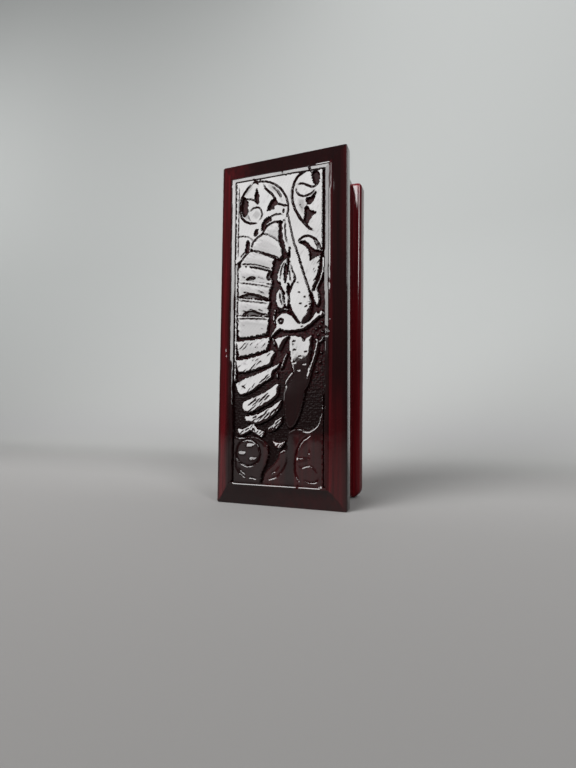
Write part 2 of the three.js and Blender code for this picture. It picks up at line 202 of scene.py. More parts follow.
floor_material, tree = new_material("matt pale paper")
place = add_node(tree, "ShaderNodeTexCoord").outputs["Object"]
backwards = add_node(tree, "ShaderNodeSeparateXYZ", Vector=place).outputs["Y"]
run_back = add_node(tree, "ShaderNodeMapRange", Value=backwards, i1=TONE_START, i2=SWEEP_BACK)
# The ramp paints shade onto the paper, darker towards the front.
paper = ramp_between(tree, run_back.outputs["Result"], PAPER_TONES_WITH_PAINTED_SHADE)
mottle = add_node(tree, "ShaderNodeTexNoise", Vector=place, Scale=MOTTLE_SCALE, Detail=3.0)
grain = add_node(tree, "ShaderNodeBump", Strength=0.05, Distance=PAPER_TOOTH, Height=mottle.outputs["Fac"])
sheet = add_node(
    tree,
    "ShaderNodeBsdfPrincipled",
    Base_Color=paper,
    Roughness=0.85,
    Specular_IOR_Level=PAPER_SPECULAR,
    Normal=grain.outputs["Normal"],
)
add_node(tree, "ShaderNodeOutputMaterial", Surface=sheet.outputs["BSDF"])
floor.data.materials.append(floor_material)
print(floor_material.name, "has", len(PAPER_TONES_WITH_PAINTED_SHADE), "tones")

# %% [markdown]
# The lacquer on the lid is almost a mirror, so the main lamp is placed by what the mirror shows. A ray
# from the camera to a point on the lid goes on to the same place as a ray from the camera's own mirror
# image, which stands behind the lid. The silver part of the carving ends along a slanting line, and the
# lamp's lower edge is laid where the mirrored rays through two points of that line meet the lamp's plane.

# %% The softbox that the lid mirrors
BEAD_PROUD = 0.7 * MM
SOFTBOX_DISTANCE = 1.55
SOFTBOX_RADIANCE = 19.5
SOFTBOX_WIDTH = 0.95
SOFTBOX_HEIGHT = 0.74
EDGE_SHIFT_SHARE = 0.29
EDGE_POINTS_ON_LID = ((33, 90), (74, 122))
AIM_POINT_ON_LID = (52, 190)

mirror_y = lid_low.y + BEAD_PROUD
mirrored_camera = Vector((camera_place.x, 2 * mirror_y - camera_place.y, camera_place.z))


def on_lid(across, up):
    """A point of the lid's face, from millimetres across and up from its lower left corner."""
    return Vector((lid_low.x + across * MM, mirror_y, lid_low.z + up * MM))


aim = (on_lid(*AIM_POINT_ON_LID) - mirrored_camera).normalized()


def on_lamp_plane(point):
    """Where the mirrored ray through a point of the lid meets the lamp's plane."""
    ray = (on_lid(*point) - mirrored_camera).normalized()
    return mirrored_camera + ray * (SOFTBOX_DISTANCE / ray.dot(aim))


low_end, high_end = (on_lamp_plane(point) for point in EDGE_POINTS_ON_LID)
edge_way = (low_end - high_end).normalized()
if edge_way.cross(Vector((0, 0, 1))).dot(aim) < 0:
    edge_way = -edge_way
rise_way = aim.cross(edge_way).normalized()


def add_softbox(name, centre, across, upwards, width, height, radiance):
    """A rectangular lamp that shines along its own -Z. Its power follows from its radiance and its size."""
    bpy.ops.object.light_add(type="AREA")
    lamp = bpy.context.object
    lamp.name = name
    lamp.data.shape = "RECTANGLE"
    lamp.data.size = width
    lamp.data.size_y = height
    lamp.data.energy = radiance * math.pi * width * height
    facing = across.cross(upwards)
    turned = Matrix((across, upwards, facing)).transposed().to_4x4()
    lamp.matrix_world = Matrix.Translation(centre) @ turned
    lamp.visible_camera = False
    print(name, "gives", round(lamp.data.energy, 1), "watts from", [round(part, 2) for part in centre])


middle_of_edge = (low_end + high_end) / 2
along_edge = edge_way * (EDGE_SHIFT_SHARE * SOFTBOX_WIDTH)
softbox_centre = middle_of_edge + along_edge + rise_way * (SOFTBOX_HEIGHT / 2)
deselect_all()
add_softbox(
    "main_softbox", softbox_centre, edge_way, rise_way, SOFTBOX_WIDTH, SOFTBOX_HEIGHT, SOFTBOX_RADIANCE
)

# %% [markdown]
# A tall, narrow lamp stands in front and to the right. It draws the thin bright line along the round
# right edge of the base board. It starts well above the box, so the line fades towards the floor.

# %% Strip lamp at the right
STRIP_BEARING = math.radians(44)
STRIP_DISTANCE = 1.6
STRIP_WIDTH = 0.5
STRIP_HEIGHT = 0.9
STRIP_FOOT = 0.62
STRIP_RADIANCE = 17.0
SIDEWAYS, BACKWARDS, UPWARDS = Vector((1, 0, 0)), Vector((0, 1, 0)), Vector((0, 0, 1))

strip_out = Vector((math.sin(STRIP_BEARING), -math.cos(STRIP_BEARING), 0))
strip_centre = strip_out * STRIP_DISTANCE + UPWARDS * (STRIP_FOOT + STRIP_HEIGHT / 2)
strip_along = UPWARDS.cross(strip_out)
add_softbox("right_strip", strip_centre, strip_along, UPWARDS, STRIP_WIDTH, STRIP_HEIGHT, STRIP_RADIANCE)

# %% [markdown]
# A wide, dim lamp overhead lights the floor evenly. A second one, at the left and facing back, brightens
# the sweep's wall behind the box on that side.

# %% Overhead lamp and wall lamp
OVERHEAD_SIZE = 1.5
OVERHEAD_RADIANCE = 1.7
OVERHEAD_PLACE = Vector((0.5, 0.4, 1.7))
WALL_LAMP_SIZE = 0.9
WALL_LAMP_RADIANCE = 6.0
WALL_LAMP_PLACE = Vector((-2.0, -0.1, 1.15))

for name, place, upward_way, size, radiance in (
    ("overhead", OVERHEAD_PLACE, BACKWARDS, OVERHEAD_SIZE, OVERHEAD_RADIANCE),
    ("wall_lamp", WALL_LAMP_PLACE, UPWARDS, WALL_LAMP_SIZE, WALL_LAMP_RADIANCE),
):
    add_softbox(name, place, SIDEWAYS, upward_way, size, size, radiance)

# %% [markdown]
# The world fills the shadows. It is paler behind the box than in front of it, so the lacquer stays dark
# where it mirrors the room.

# %% World
WORLD_IN_FRONT = "#2c2c2d"
WORLD_BEHIND = "#b6b8ba"
DIM_UNTIL = -0.25
PALE_FROM = 0.6

world = bpy.data.worlds.new("studio")
bpy.context.scene.world = world
world.use_nodes = True
tree = world.node_tree
tree.nodes.clear()
direction = add_node(tree, "ShaderNodeTexCoord").outputs["Generated"]
parts = add_node(tree, "ShaderNodeSeparateXYZ", Vector=direction)
backness = add_node(tree, "ShaderNodeMapRange", Value=parts.outputs["Y"], i1=DIM_UNTIL, i2=PALE_FROM)
tone = ramp_between(tree, backness.outputs["Result"], [(0, WORLD_IN_FRONT), (1, WORLD_BEHIND)])
light = add_node(tree, "ShaderNodeBackground", Color=tone, Strength=1.0)
add_node(tree, "ShaderNodeOutputWorld", Surface=light.outputs["Background"])
bpy.context.scene.view_settings.view_transform = "Standard"
print("the world goes from dim in front to pale behind")

# %% [markdown]
# The wood is a dark hardwood stained cherry red, under several coats of clear lacquer. The stain gives
# the colour, which is nearly black where it lies thick and red where it was rubbed thin. The lacquer
# gives the shine: a second, smooth layer over the wood. Under lacquer, the wood itself hardly shines, so
# its own specular level is low. On the lid, an attribute called rubbed says where the stain is thin, and
# one called gloss says how clear the lacquer is: it is dulled in the cuts and over some shapes, as a
# painted shade. The base has a gloss attribute too, which makes its lacquer dimmer towards the foot. The
# grain runs along each board: upwards in the long ones, across in the end boards.

# %% Cherry-stained, lacquered hardwood
GRAIN_WIDTH = 2.2 * MM
GRAIN_LENGTH = 70 * MM
PORE_WIDTH = 0.35 * MM
PORE_LENGTH = 6 * MM
RIPPLE_SIZE = 5.5 * MM
RIPPLE_DEPTH = 0.05 * MM
PORE_DEPTH = 0.012 * MM
UNDER_LACQUER = 0.02
BOARD_STAIN = ("#1c0507", "#4f0b10")
BASE_STAIN = ("#200608", "#560c12")
CARVED_STAIN = ("#060202", "#480a0f")
BOARD_COAT_ROUGHNESS = 0.11
CARVED_COAT_ROUGHNESS = 0.058
GRAIN_LOW = 0.3
GRAIN_HIGH = 0.7
THICKEST = 0.3


def stretched_noise(tree, place, width, length, detail, grain_way="Z"):
    """Noise drawn out along the axis that the grain runs along."""
    stretch = [1 / length if axis == grain_way else 1 / width for axis in "XYZ"]
    streaks = add_node(tree, "ShaderNodeMapping", {"vector_type": "POINT"}, Vector=place, Scale=stretch)
    return add_node(tree, "ShaderNodeTexNoise", Vector=streaks.outputs["Vector"], Scale=1.0, Detail=detail)


def lacquered_wood(name, stain, coat_roughness, rubbed_attribute=None, gloss_attribute=None, grain_way="Z"):
    """Stained wood under lacquer. The stain is two colours, where it lies thick and where it is thin."""
    material, tree = new_material(name)
    place = add_node(tree, "ShaderNodeTexCoord").outputs["Object"]
    grain = stretched_noise(tree, place, GRAIN_WIDTH, GRAIN_LENGTH, 4.0, grain_way)
    pores = stretched_noise(tree, place, PORE_WIDTH, PORE_LENGTH, 2.0, grain_way)
    grain_share = grain.outputs["Fac"]
    streaks = add_node(
        tree, "ShaderNodeMapRange", Value=grain_share, i1=GRAIN_LOW, i2=GRAIN_HIGH, i3=THICKEST, i4=1.0
    )
    share = streaks.outputs["Result"]
    if rubbed_attribute:
        rubbed = add_node(tree, "ShaderNodeAttribute", {"attribute_name": rubbed_attribute})
        thinned = add_node(
            tree, "ShaderNodeMath", {"operation": "MULTIPLY"}, i0=share, i1=rubbed.outputs["Fac"]
        )
        share = thinned.outputs["Value"]
    stained = ramp_between(tree, share, list(enumerate(stain)))
    ripple = add_node(tree, "ShaderNodeTexNoise", Vector=place, Scale=1 / RIPPLE_SIZE, Detail=1.5)
    waves = add_node(tree, "ShaderNodeBump", Distance=RIPPLE_DEPTH, Height=ripple.outputs["Fac"])
    pitted = add_node(
        tree,
        "ShaderNodeBump",
        Distance=PORE_DEPTH,
        Height=pores.outputs["Fac"],
        Normal=waves.outputs["Normal"],
    )
    wood = add_node(
        tree,
        "ShaderNodeBsdfPrincipled",
        Base_Color=stained,
        Roughness=0.45,
        IOR=1.5,
        Specular_IOR_Level=UNDER_LACQUER,
        Normal=pitted.outputs["Normal"],
        Coat_Weight=1.0,
        Coat_IOR=1.45,
        Coat_Roughness=coat_roughness,
        Coat_Normal=waves.outputs["Normal"],
    )
    if gloss_attribute:
        gloss = add_node(tree, "ShaderNodeAttribute", {"attribute_name": gloss_attribute})
        tree.links.new(gloss.outputs["Fac"], wood.inputs["Coat Weight"])
    add_node(tree, "ShaderNodeOutputMaterial", Surface=wood.outputs["BSDF"])
    return material


board_wood = lacquered_wood("cherry-stained lacquered hardwood", BOARD_STAIN, BOARD_COAT_ROUGHNESS)
end_wood = lacquered_wood(
    "cherry-stained lacquered end board", BOARD_STAIN, BOARD_COAT_ROUGHNESS, grain_way="X"
)
base_wood = lacquered_wood(
    "cherry stain under worn lacquer", BASE_STAIN, BOARD_COAT_ROUGHNESS, gloss_attribute="gloss"
)
carved_wood = lacquered_wood(
    "dark cherry lacquer over carving", CARVED_STAIN, CARVED_COAT_ROUGHNESS, "rubbed", "gloss"
)
print(board_wood.name, "and", carved_wood.name, "are ready")

# %% [markdown]
# The ground of the carving is punched with a blunt nail. Lacquer pools there and dries dull, and dust
# settles in it, so the ground drinks the light: it has only a thin, soft coat, and its red shows because
# nothing mirrors over it. Low down, where the picture's ground is nearly black, the red is halved.

# %% Punched ground
SPECK_SIZE = 1.6 * MM
DARK_BELOW = 75 * MM
RED_ABOVE = 112 * MM
LEAST_RED = 0.5
GROUND_TONES = [(0.35, "#080202"), (0.65, "#1c0305")]
PIT_DEPTH = 0.12 * MM
THIN_COAT = 0.024

ground_wood, tree = new_material("punched ground, dull lacquer")
place = add_node(tree, "ShaderNodeTexCoord").outputs["Object"]
speckle = add_node(tree, "ShaderNodeTexNoise", Vector=place, Scale=1 / SPECK_SIZE, Detail=3.0)
upwards = add_node(tree, "ShaderNodeSeparateXYZ", Vector=place).outputs["Z"]
redness = add_node(
    tree, "ShaderNodeMapRange", Value=upwards, i1=DARK_BELOW, i2=RED_ABOVE, i3=LEAST_RED, i4=1.0
)
patches = add_node(
    tree, "ShaderNodeMath", {"operation": "MULTIPLY"}, i0=speckle.outputs["Fac"], i1=redness.outputs["Result"]
)
ground_tone = ramp_between(tree, patches.outputs["Value"], GROUND_TONES)
pits = add_node(tree, "ShaderNodeBump", Distance=PIT_DEPTH, Height=speckle.outputs["Fac"])
dull = add_node(
    tree,
    "ShaderNodeBsdfPrincipled",
    Base_Color=ground_tone,
    Roughness=0.6,
    IOR=1.5,
    Specular_IOR_Level=UNDER_LACQUER,
    Normal=pits.outputs["Normal"],
    Coat_Weight=THIN_COAT,
    Coat_IOR=1.5,
    Coat_Roughness=0.2,
    Coat_Normal=pits.outputs["Normal"],
)
add_node(tree, "ShaderNodeOutputMaterial", Surface=dull.outputs["BSDF"])
print(ground_wood.name, "is ready")

# %% [markdown]
# Inside, the boards are stained too, but have no thick lacquer, so the grain shows and the shine is soft.

# %% Stained wood without lacquer
BARE_STAIN = ("#3a1713", "#6b3324")
FIBRE_DEPTH = 0.05 * MM


def bare_wood(name, grain_way="Z"):
    """Stained wood whose grain shows as streaks of two tones."""
    dark, pale = BARE_STAIN
    material, tree = new_material(name)
    place = add_node(tree, "ShaderNodeTexCoord").outputs["Object"]
    grain = stretched_noise(tree, place, GRAIN_WIDTH, GRAIN_LENGTH, 5.0, grain_way)
    pores = stretched_noise(tree, place, PORE_WIDTH, PORE_LENGTH, 2.0, grain_way)
    tone = ramp_between(tree, grain.outputs["Fac"], [(GRAIN_LOW, dark), (GRAIN_HIGH, pale)])
    fibres = add_node(tree, "ShaderNodeBump", Distance=FIBRE_DEPTH, Height=pores.outputs["Fac"])
    wood = add_node(
        tree,
        "ShaderNodeBsdfPrincipled",
        Base_Color=tone,
        Roughness=0.55,
        IOR=1.5,
        Normal=fibres.outputs["Normal"],
    )
    add_node(tree, "ShaderNodeOutputMaterial", Surface=wood.outputs["BSDF"])
    return material


inside_wood = bare_wood("stained hardwood, thinly sealed")
end_inside_wood = bare_wood("stained end board, thinly sealed", "X")
print(inside_wood.name, "and", end_inside_wood.name, "are ready")

# %% [markdown]
# The hinges are small drawn-brass butts, a little tarnished, and the base screws are plain steel. Both
# keep the default IOR of a metal. Fine scratches along the length give the brass its satin look.

# %% Hinge brass and screw steel
CLOUD_SIZE = 3.0 * MM
CLOUD_LOW = 0.38
CLOUD_HIGH = 0.62
SCRATCH_WIDTH = 0.12 * MM
SCRATCH_LENGTH = 4 * MM
SCRATCH_DEPTH = 0.01 * MM


def drawn_metal(name, clean, tarnish, low_roughness, high_roughness):
    """A metal in clouds of two tones. The tarnished ones are rougher."""
    material, tree = new_material(name)
    place = add_node(tree, "ShaderNodeTexCoord").outputs["Object"]
    cloud = add_node(tree, "ShaderNodeTexNoise", Vector=place, Scale=1 / CLOUD_SIZE, Detail=4.0)
    tone = ramp_between(tree, cloud.outputs["Fac"], [(CLOUD_LOW, tarnish), (CLOUD_HIGH, clean)])
    lines = stretched_noise(tree, place, SCRATCH_WIDTH, SCRATCH_LENGTH, 2.0)
    scratches = add_node(tree, "ShaderNodeBump", Distance=SCRATCH_DEPTH, Height=lines.outputs["Fac"])
    dull = add_node(
        tree,
        "ShaderNodeMapRange",
        Value=cloud.outputs["Fac"],
        i1=GRAIN_LOW,
        i2=GRAIN_HIGH,
        i3=high_roughness,
        i4=low_roughness,
    )
    metal = add_node(
        tree,
        "ShaderNodeBsdfPrincipled",
        Base_Color=tone,
        Metallic=1.0,
        Roughness=dull.outputs["Result"],
        Normal=scratches.outputs["Normal"],
    )
    add_node(tree, "ShaderNodeOutputMaterial", Surface=metal.outputs["BSDF"])
    return material


hinge_brass = drawn_metal("drawn brass, lightly tarnished", "#c9a663", "#8f6f3c", 0.24, 0.42)
screw_steel = drawn_metal("plain steel wood screw", "#a9a6a1", "#7b7670", 0.3, 0.5)
print(hinge_brass.name, "and", screw_steel.name, "are ready")

# %% [markdown]
# Small helpers serve all pieces. One finishes a piece: it names its body and the imported nodes that it
# stands for. Others make a block, select edges by a test, cut a mesh across, smooth all but the sharp
# edges, and give the faces that look into the box the unlacquered wood.

# %% Helpers for pieces
FLAT = 1e-6


def finish_piece(piece, body, nodes, materials):
    """Gives a piece its materials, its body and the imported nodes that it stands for."""
    for material in materials:
        piece.data.materials.append(material)
    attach(piece, body)
    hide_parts(*nodes)
    faces = len(piece.data.polygons)
    print(f"{piece.name}: {faces} faces, on body {body}, for {', '.join(nodes)}")


def select_edges(piece, test):
    """In edit mode, selects the edges whose two ends pass the test, and nothing else."""
    bpy.ops.mesh.select_mode(type="EDGE")
    bpy.ops.mesh.select_all(action="DESELECT")
    shape = bmesh.from_edit_mesh(piece.data)
    for edge in shape.edges:
        if test(edge.verts[0].co, edge.verts[1].co):
            edge.select_set(True)
    bmesh.update_edit_mesh(piece.data)


def cut_across(place, way):
    """In edit mode, cuts the whole mesh by a plane through a place, square to a direction."""
    bpy.ops.mesh.select_all(action="SELECT")
    bpy.ops.mesh.bisect(plane_co=place, plane_no=way)


def bare_where(piece, test):
    """Gives the faces whose centre and normal pass the test the piece's second material."""
    for face in piece.data.polygons:
        if test(face.center, face.normal):
            face.material_index = 1


def smooth_by_angle(piece, degrees):
    """Shades a piece smooth, except over edges that turn by more than that angle."""
    deselect_all()
    piece.select_set(True)
    bpy.context.view_layer.objects.active = piece
    bpy.ops.object.shade_smooth_by_angle(angle=math.radians(degrees))


def block(name, low, high):
    """A box between two corners, with its place in its mesh."""
    deselect_all()
    bpy.ops.mesh.primitive_cube_add(size=1, location=(Vector(low) + Vector(high)) / 2)
    piece = bpy.context.object
    piece.name = name
    piece.scale = Vector(high) - Vector(low)
    bpy.ops.object.transform_apply(location=True, rotation=True, scale=True)
    return piece


print("the helpers for pieces are ready")

# %% [markdown]
# The four walls are planed boards. A sharp edge would look drawn, so every arris is eased, and the long
# boards are cut across a few times so that their faces can be a few hundredths of a millimetre out of
# true, as hand planing leaves them. On a glossy wall that is what bends the reflections. Two slow waves,
# of different length and slant, say how far each point is planed down.

# %% Walls
WALL_EASE = 0.5 * MM
EASE_SEGMENTS = 3
WALL_CUTS = 14
LONG_WALL = 60 * MM
PLANING_DEPTH = 0.07 * MM
PLANING_LENGTH = 46 * MM
BOARD_SMOOTH = 40


def hand_planed(piece, depth):
    """Moves the mesh along its normals by slow waves, so that no face is quite flat."""
    moves = []
    for corner in piece.data.vertices:
        wave = math.sin(corner.co.z / PLANING_LENGTH * 2 * math.pi + 3 * corner.co.x / MM / 10)
        cross_wave = math.sin(corner.co.z / PLANING_LENGTH * 3.7 + corner.co.y / MM / 9)
        moves.append(corner.normal * (-depth * (0.5 + 0.3 * wave + 0.2 * cross_wave)))
    for corner, move in zip(piece.data.vertices, moves):
        corner.co += move


def wall(name, node, is_inside, materials):
    """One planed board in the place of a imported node."""
    low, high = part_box(node)
    piece = block(name, low, high)
    bpy.ops.object.mode_set(mode="EDIT")
    bpy.ops.mesh.select_all(action="SELECT")
    bpy.ops.mesh.bevel(offset=WALL_EASE, segments=EASE_SEGMENTS, affect="EDGES")
    if high.z - low.z > LONG_WALL:
        for cut in range(1, WALL_CUTS):
            cut_across((0, 0, low.z + (high.z - low.z) * cut / WALL_CUTS), UPWARDS)
    bpy.ops.object.mode_set(mode="OBJECT")
    hand_planed(piece, PLANING_DEPTH)
    bare_where(piece, is_inside)
    smooth_by_angle(piece, BOARD_SMOOTH)
    finish_piece(piece, "box", [node], materials)


long_woods = [board_wood, inside_wood]
end_woods = [end_wood, end_inside_wood]
wall("hinge_side_board", "hinge_side_wall", lambda centre, normal: normal.x > 0.5, long_woods)
wall("opening_side_board", "opening_side_wall", lambda centre, normal: normal.x < -0.5, long_woods)
wall("top_end_board", "top_end_wall", lambda centre, normal: normal.z < -0.5, end_woods)
wall("bottom_end_board", "bottom_end_wall", lambda centre, normal: normal.z > 0.5, end_woods)

# %% [markdown]
# The base is one thick board with rounded arrises. It starts as a block. Its lower right corner is moved
# in, since that edge was planed a little out of square, the four corners are rounded by a bevel, and then
# the front and back outlines are rounded over. Cuts across it let it be planed like the walls. Four more
# run along the middles of the walls that stand on it, because only the front face between them is bare
# wood: its rim outside the walls is lacquered.

# %% Base board
BASE_TAPER = 2.6 * MM
BASE_TOP_CORNER = 4 * MM
BASE_BOTTOM_CORNER = 8 * MM
BASE_ARRIS = 3.5 * MM
CORNER_SEGMENTS = 8
ARRIS_SEGMENTS = 6
BASE_CUTS = 18

base_low, base_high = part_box("base_board")
base = block("base_plank", base_low, base_high)
for corner in base.data.vertices:
    if corner.co.x > 0 and corner.co.z < base_high.z / 2:
        corner.co.x -= BASE_TAPER
bpy.ops.object.mode_set(mode="EDIT")


def upright_corner(is_top):
    """A test for the edges that run through the board at its two upper or its two lower corners."""
    def test(first, second):
        along = abs(first.y - second.y) > base_high.y - base_low.y - MM
        return along and (first.z > base_high.z / 2) == is_top
    return test


select_edges(base, upright_corner(True))
bpy.ops.mesh.bevel(offset=BASE_TOP_CORNER, segments=CORNER_SEGMENTS, affect="EDGES")
select_edges(base, upright_corner(False))
bpy.ops.mesh.bevel(offset=BASE_BOTTOM_CORNER, segments=CORNER_SEGMENTS, affect="EDGES")
select_edges(base, lambda first, second: abs(first.y - second.y) < FLAT)
bpy.ops.mesh.bevel(offset=BASE_ARRIS, segments=ARRIS_SEGMENTS, affect="EDGES")
for cut in range(1, BASE_CUTS):
    cut_across((0, 0, base_high.z * cut / BASE_CUTS), UPWARDS)

side_low, side_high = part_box("opening_side_wall")
foot_low, foot_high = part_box("bottom_end_wall")
head_low, head_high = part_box("top_end_wall")
seam_x = (side_low.x + side_high.x) / 2
seam_low = (foot_low.z + foot_high.z) / 2
seam_high = (head_low.z + head_high.z) / 2
for seam in (seam_x, -seam_x):
    cut_across((seam, 0, 0), SIDEWAYS)
for seam in (seam_low, seam_high):
    cut_across((0, 0, seam), UPWARDS)
bpy.ops.object.mode_set(mode="OBJECT")
hand_planed(base, PLANING_DEPTH)
print("the base has", len(base.data.polygons), "faces before its screw holes")

# %% [markdown]
# Six countersinks are cut for the screws by a boolean. Each is a cone that opens towards the back.

# %% Countersinks
SCREW_CLEARANCE = 0.08 * MM
CONE_SIDES = 32

base_screws = [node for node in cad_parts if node.startswith("base_screw")]
deselect_all()
cutters = []
for node in base_screws:
    low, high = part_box(node)
    head = (high.x - low.x) / 2 + SCREW_CLEARANCE
    centre = (low + high) / 2
    bpy.ops.mesh.primitive_cone_add(
        vertices=CONE_SIDES,
        radius1=0,
        radius2=head * 2,
        depth=head * 2,
        location=(centre.x, base_high.y, centre.z),
        rotation=(-math.pi / 2, 0, 0),
    )
    cutters.append(bpy.context.object)
for cutter in cutters:
    cutter.select_set(True)
bpy.context.view_layer.objects.active = cutters[0]
bpy.ops.object.join()
cutter = bpy.context.object
bpy.context.view_layer.objects.active = base
countersinks = base.modifiers.new("countersinks", "BOOLEAN")
countersinks.operation = "DIFFERENCE"
countersinks.solver = "EXACT"
countersinks.object = cutter
bpy.ops.object.modifier_apply(modifier=countersinks.name)
bpy.data.objects.remove(cutter)
print(len(base_screws), "countersinks are cut")

# %% [markdown]
# The base's lacquer is clear at the top and dimmer towards the foot. The attribute called gloss says so.

# %% Bare front and dimmed lacquer
FULL_SHINE = 0.85
FOOT_SHINE = 0.22
DIMMED_BELOW = 125 * MM
DIMMED_OVER = 90 * MM


def looks_inside(centre, normal):
    between_walls = abs(centre.x) < seam_x and seam_low < centre.z < seam_high
    return normal.y < -0.5 and between_walls


bare_where(base, looks_inside)
# The gloss falls towards the foot, which darkens the base's reflections there.
shine = base.data.attributes.new("gloss", "FLOAT", "POINT")
for corner, value in zip(base.data.vertices, shine.data):
    dimmed = min(max(1 - (corner.co.z - DIMMED_BELOW) / DIMMED_OVER, 0), 1)
    value.value = FULL_SHINE + (FOOT_SHINE - FULL_SHINE) * dimmed
smooth_by_angle(base, BOARD_SMOOTH)
finish_piece(base, "box", ["base_board"], [base_wood, inside_wood])

# %% [markdown]
# Hinge leaves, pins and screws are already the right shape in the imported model, but their edges are knife
# sharp and their barrels are faceted. Each is copied, its loose triangles are merged, flat faces are
# joined again, and a small bevel eases the edges.

# %% Hinges and screws
METAL_EASE = 0.12 * MM
MERGE_DISTANCE = 0.001 * MM
FLAT_ANGLE = math.radians(1.0)
EDGE_ANGLE = math.radians(35)
METAL_SMOOTH = 38
LEAF_SCREWS = 4


def eased_copy(node, name, body, material):
    """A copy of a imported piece, on its own mesh, with eased edges."""
    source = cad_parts[node]
    piece = source.copy()
    piece.data = source.data.copy()
    piece.name = name
    for key in list(piece.keys()):
        if key.startswith("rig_"):
            del piece[key]
    piece.parent = None
    bpy.context.scene.collection.objects.link(piece)
    piece.hide_render = False
    piece.hide_viewport = False
    piece.data.materials.clear()
    deselect_all()
    piece.select_set(True)
    bpy.context.view_layer.objects.active = piece
    bpy.ops.object.mode_set(mode="EDIT")
    bpy.ops.mesh.select_all(action="SELECT")
    bpy.ops.mesh.remove_doubles(threshold=MERGE_DISTANCE)
    bpy.ops.mesh.dissolve_limited(angle_limit=FLAT_ANGLE)
    bpy.ops.object.mode_set(mode="OBJECT")
    ease = piece.modifiers.new("ease", "BEVEL")
    ease.width = METAL_EASE
    ease.segments = 2
    ease.limit_method = "ANGLE"
    ease.angle_limit = EDGE_ANGLE
    bpy.ops.object.modifier_apply(modifier=ease.name)
    smooth_by_angle(piece, METAL_SMOOTH)
    finish_piece(piece, body, [node], [material])


for end in ("top", "bottom"):
    for part, body in (("lid_leaf", "lid"), ("box_leaf", "box"), ("pin", "box")):
        eased_copy(f"{end}_hinge_{part}", f"{end}_{part}_brass", body, hinge_brass)
for number in range(1, LEAF_SCREWS + 1):
    for body in ("lid", "box"):
        screw = f"{body}_leaf_screw_{number}"
        eased_copy(screw, f"{body}_screw_brass_{number}", body, hinge_brass)
for number in range(1, len(base_screws) + 1):
    eased_copy(f"base_screw_{number}", f"base_screw_steel_{number}", "box", screw_steel)

# %% [markdown]
# The lid is one plank. Its carved face needs a fine, even mesh, and the rest only a few faces, so the
# face starts as a grid that covers the field, the bead and the inner part of the bevels. The grid's edge
# is then extruded outwards, loop by loop: down the bevel, round the arris, along the plain edge and round
# to the back, which one face closes.

# %% Lid: a grid, and its border
CARVING_STEP = 0.56 * MM
GRID_SHARE = 0.45
BORDER_LEFT = 11.2 * MM
BORDER_RIGHT = 12.7 * MM
BORDER_TOP = 14 * MM
BORDER_BOTTOM = 15.2 * MM
BEVEL_RISE = 4.3 * MM
ARRIS_EASE = 0.3 * MM
BACK_EASE = 0.6 * MM
CORNER_ROUND = 1.6 * MM
BEVEL_LOOPS = (0.6, 0.76)
ARRIS_STEPS = 4
BACK_TURN = 0.3

bevel_top_y = lid_low.y + BEAD_PROUD
arris_y = bevel_top_y + BEVEL_RISE
bead_box = (
    lid_low.x + BORDER_LEFT,
    lid_high.x - BORDER_RIGHT,
    lid_low.z + BORDER_BOTTOM,
    lid_high.z - BORDER_TOP,
)
lid_box = (lid_low.x, lid_high.x, lid_low.z, lid_high.z)


def between(first, second, share):
    """The outline that lies that share of the way from the first to the second."""
    return tuple(a + (b - a) * share for a, b in zip(first, second))


def drawn_in(outline, distance):
    """A rectangle with all four sides moved in."""
    left, right, bottom, top = outline
    return (left + distance, right - distance, bottom + distance, top - distance)


deselect_all()
grid_box = between(bead_box, lid_box, GRID_SHARE)
grid_y = bevel_top_y + BEVEL_RISE * GRID_SHARE
grid_width = grid_box[1] - grid_box[0]
grid_height = grid_box[3] - grid_box[2]
bpy.ops.mesh.primitive_grid_add(
    x_subdivisions=round(grid_width / CARVING_STEP), y_subdivisions=round(grid_height / CARVING_STEP), size=1
)
lid = bpy.context.object
lid.name = "carved_lid"
lid.scale = (grid_width, grid_height, 1)
lid.rotation_euler = (math.pi / 2, 0, 0)
lid.location = ((grid_box[0] + grid_box[1]) / 2, grid_y, (grid_box[2] + grid_box[3]) / 2)
bpy.ops.object.transform_apply(location=True, rotation=True, scale=True)

# Each border loop is the rectangle that it follows, and its depth.
border_loops = []
for share in BEVEL_LOOPS:
    border_loops.append((between(bead_box, lid_box, share), bevel_top_y + BEVEL_RISE * share))
ease_share = ARRIS_EASE / BORDER_LEFT
for step in range(ARRIS_STEPS + 1):
    turn_share = step / ARRIS_STEPS
    on_bevel = (1 - turn_share) ** 2
    on_edge = turn_share ** 2
    loop_box = between(bead_box, lid_box, 1 - ease_share * on_bevel)
    border_loops.append((loop_box, arris_y - BEVEL_RISE * ease_share * on_bevel + ARRIS_EASE * on_edge))
border_loops.append((lid_box, lid_high.y - BACK_EASE))
border_loops.append((drawn_in(lid_box, BACK_EASE * BACK_TURN), lid_high.y - BACK_EASE * BACK_TURN))
border_loops.append((drawn_in(lid_box, BACK_EASE), lid_high.y))

bpy.ops.object.mode_set(mode="EDIT")
bpy.ops.mesh.select_mode(type="EDGE")
bpy.ops.mesh.select_all(action="DESELECT")
bpy.ops.mesh.select_non_manifold()
last_box, last_y = grid_box, grid_y
for loop_box, loop_y in border_loops:
    bpy.ops.mesh.extrude_edges_move(TRANSFORM_OT_translate={"value": (0, loop_y - last_y, 0)})
    wider = (loop_box[1] - loop_box[0]) / (last_box[1] - last_box[0])
    taller = (loop_box[3] - loop_box[2]) / (last_box[3] - last_box[2])
    old_centre = ((last_box[0] + last_box[1]) / 2, loop_y, (last_box[2] + last_box[3]) / 2)
    bpy.ops.transform.resize(value=(wider, 1, taller), center_override=old_centre)
    new_centre = ((loop_box[0] + loop_box[1]) / 2, loop_y, (loop_box[2] + loop_box[3]) / 2)
    bpy.ops.transform.translate(value=Vector(new_centre) - Vector(old_centre))
    last_box, last_y = loop_box, loop_y
bpy.ops.mesh.edge_face_add()
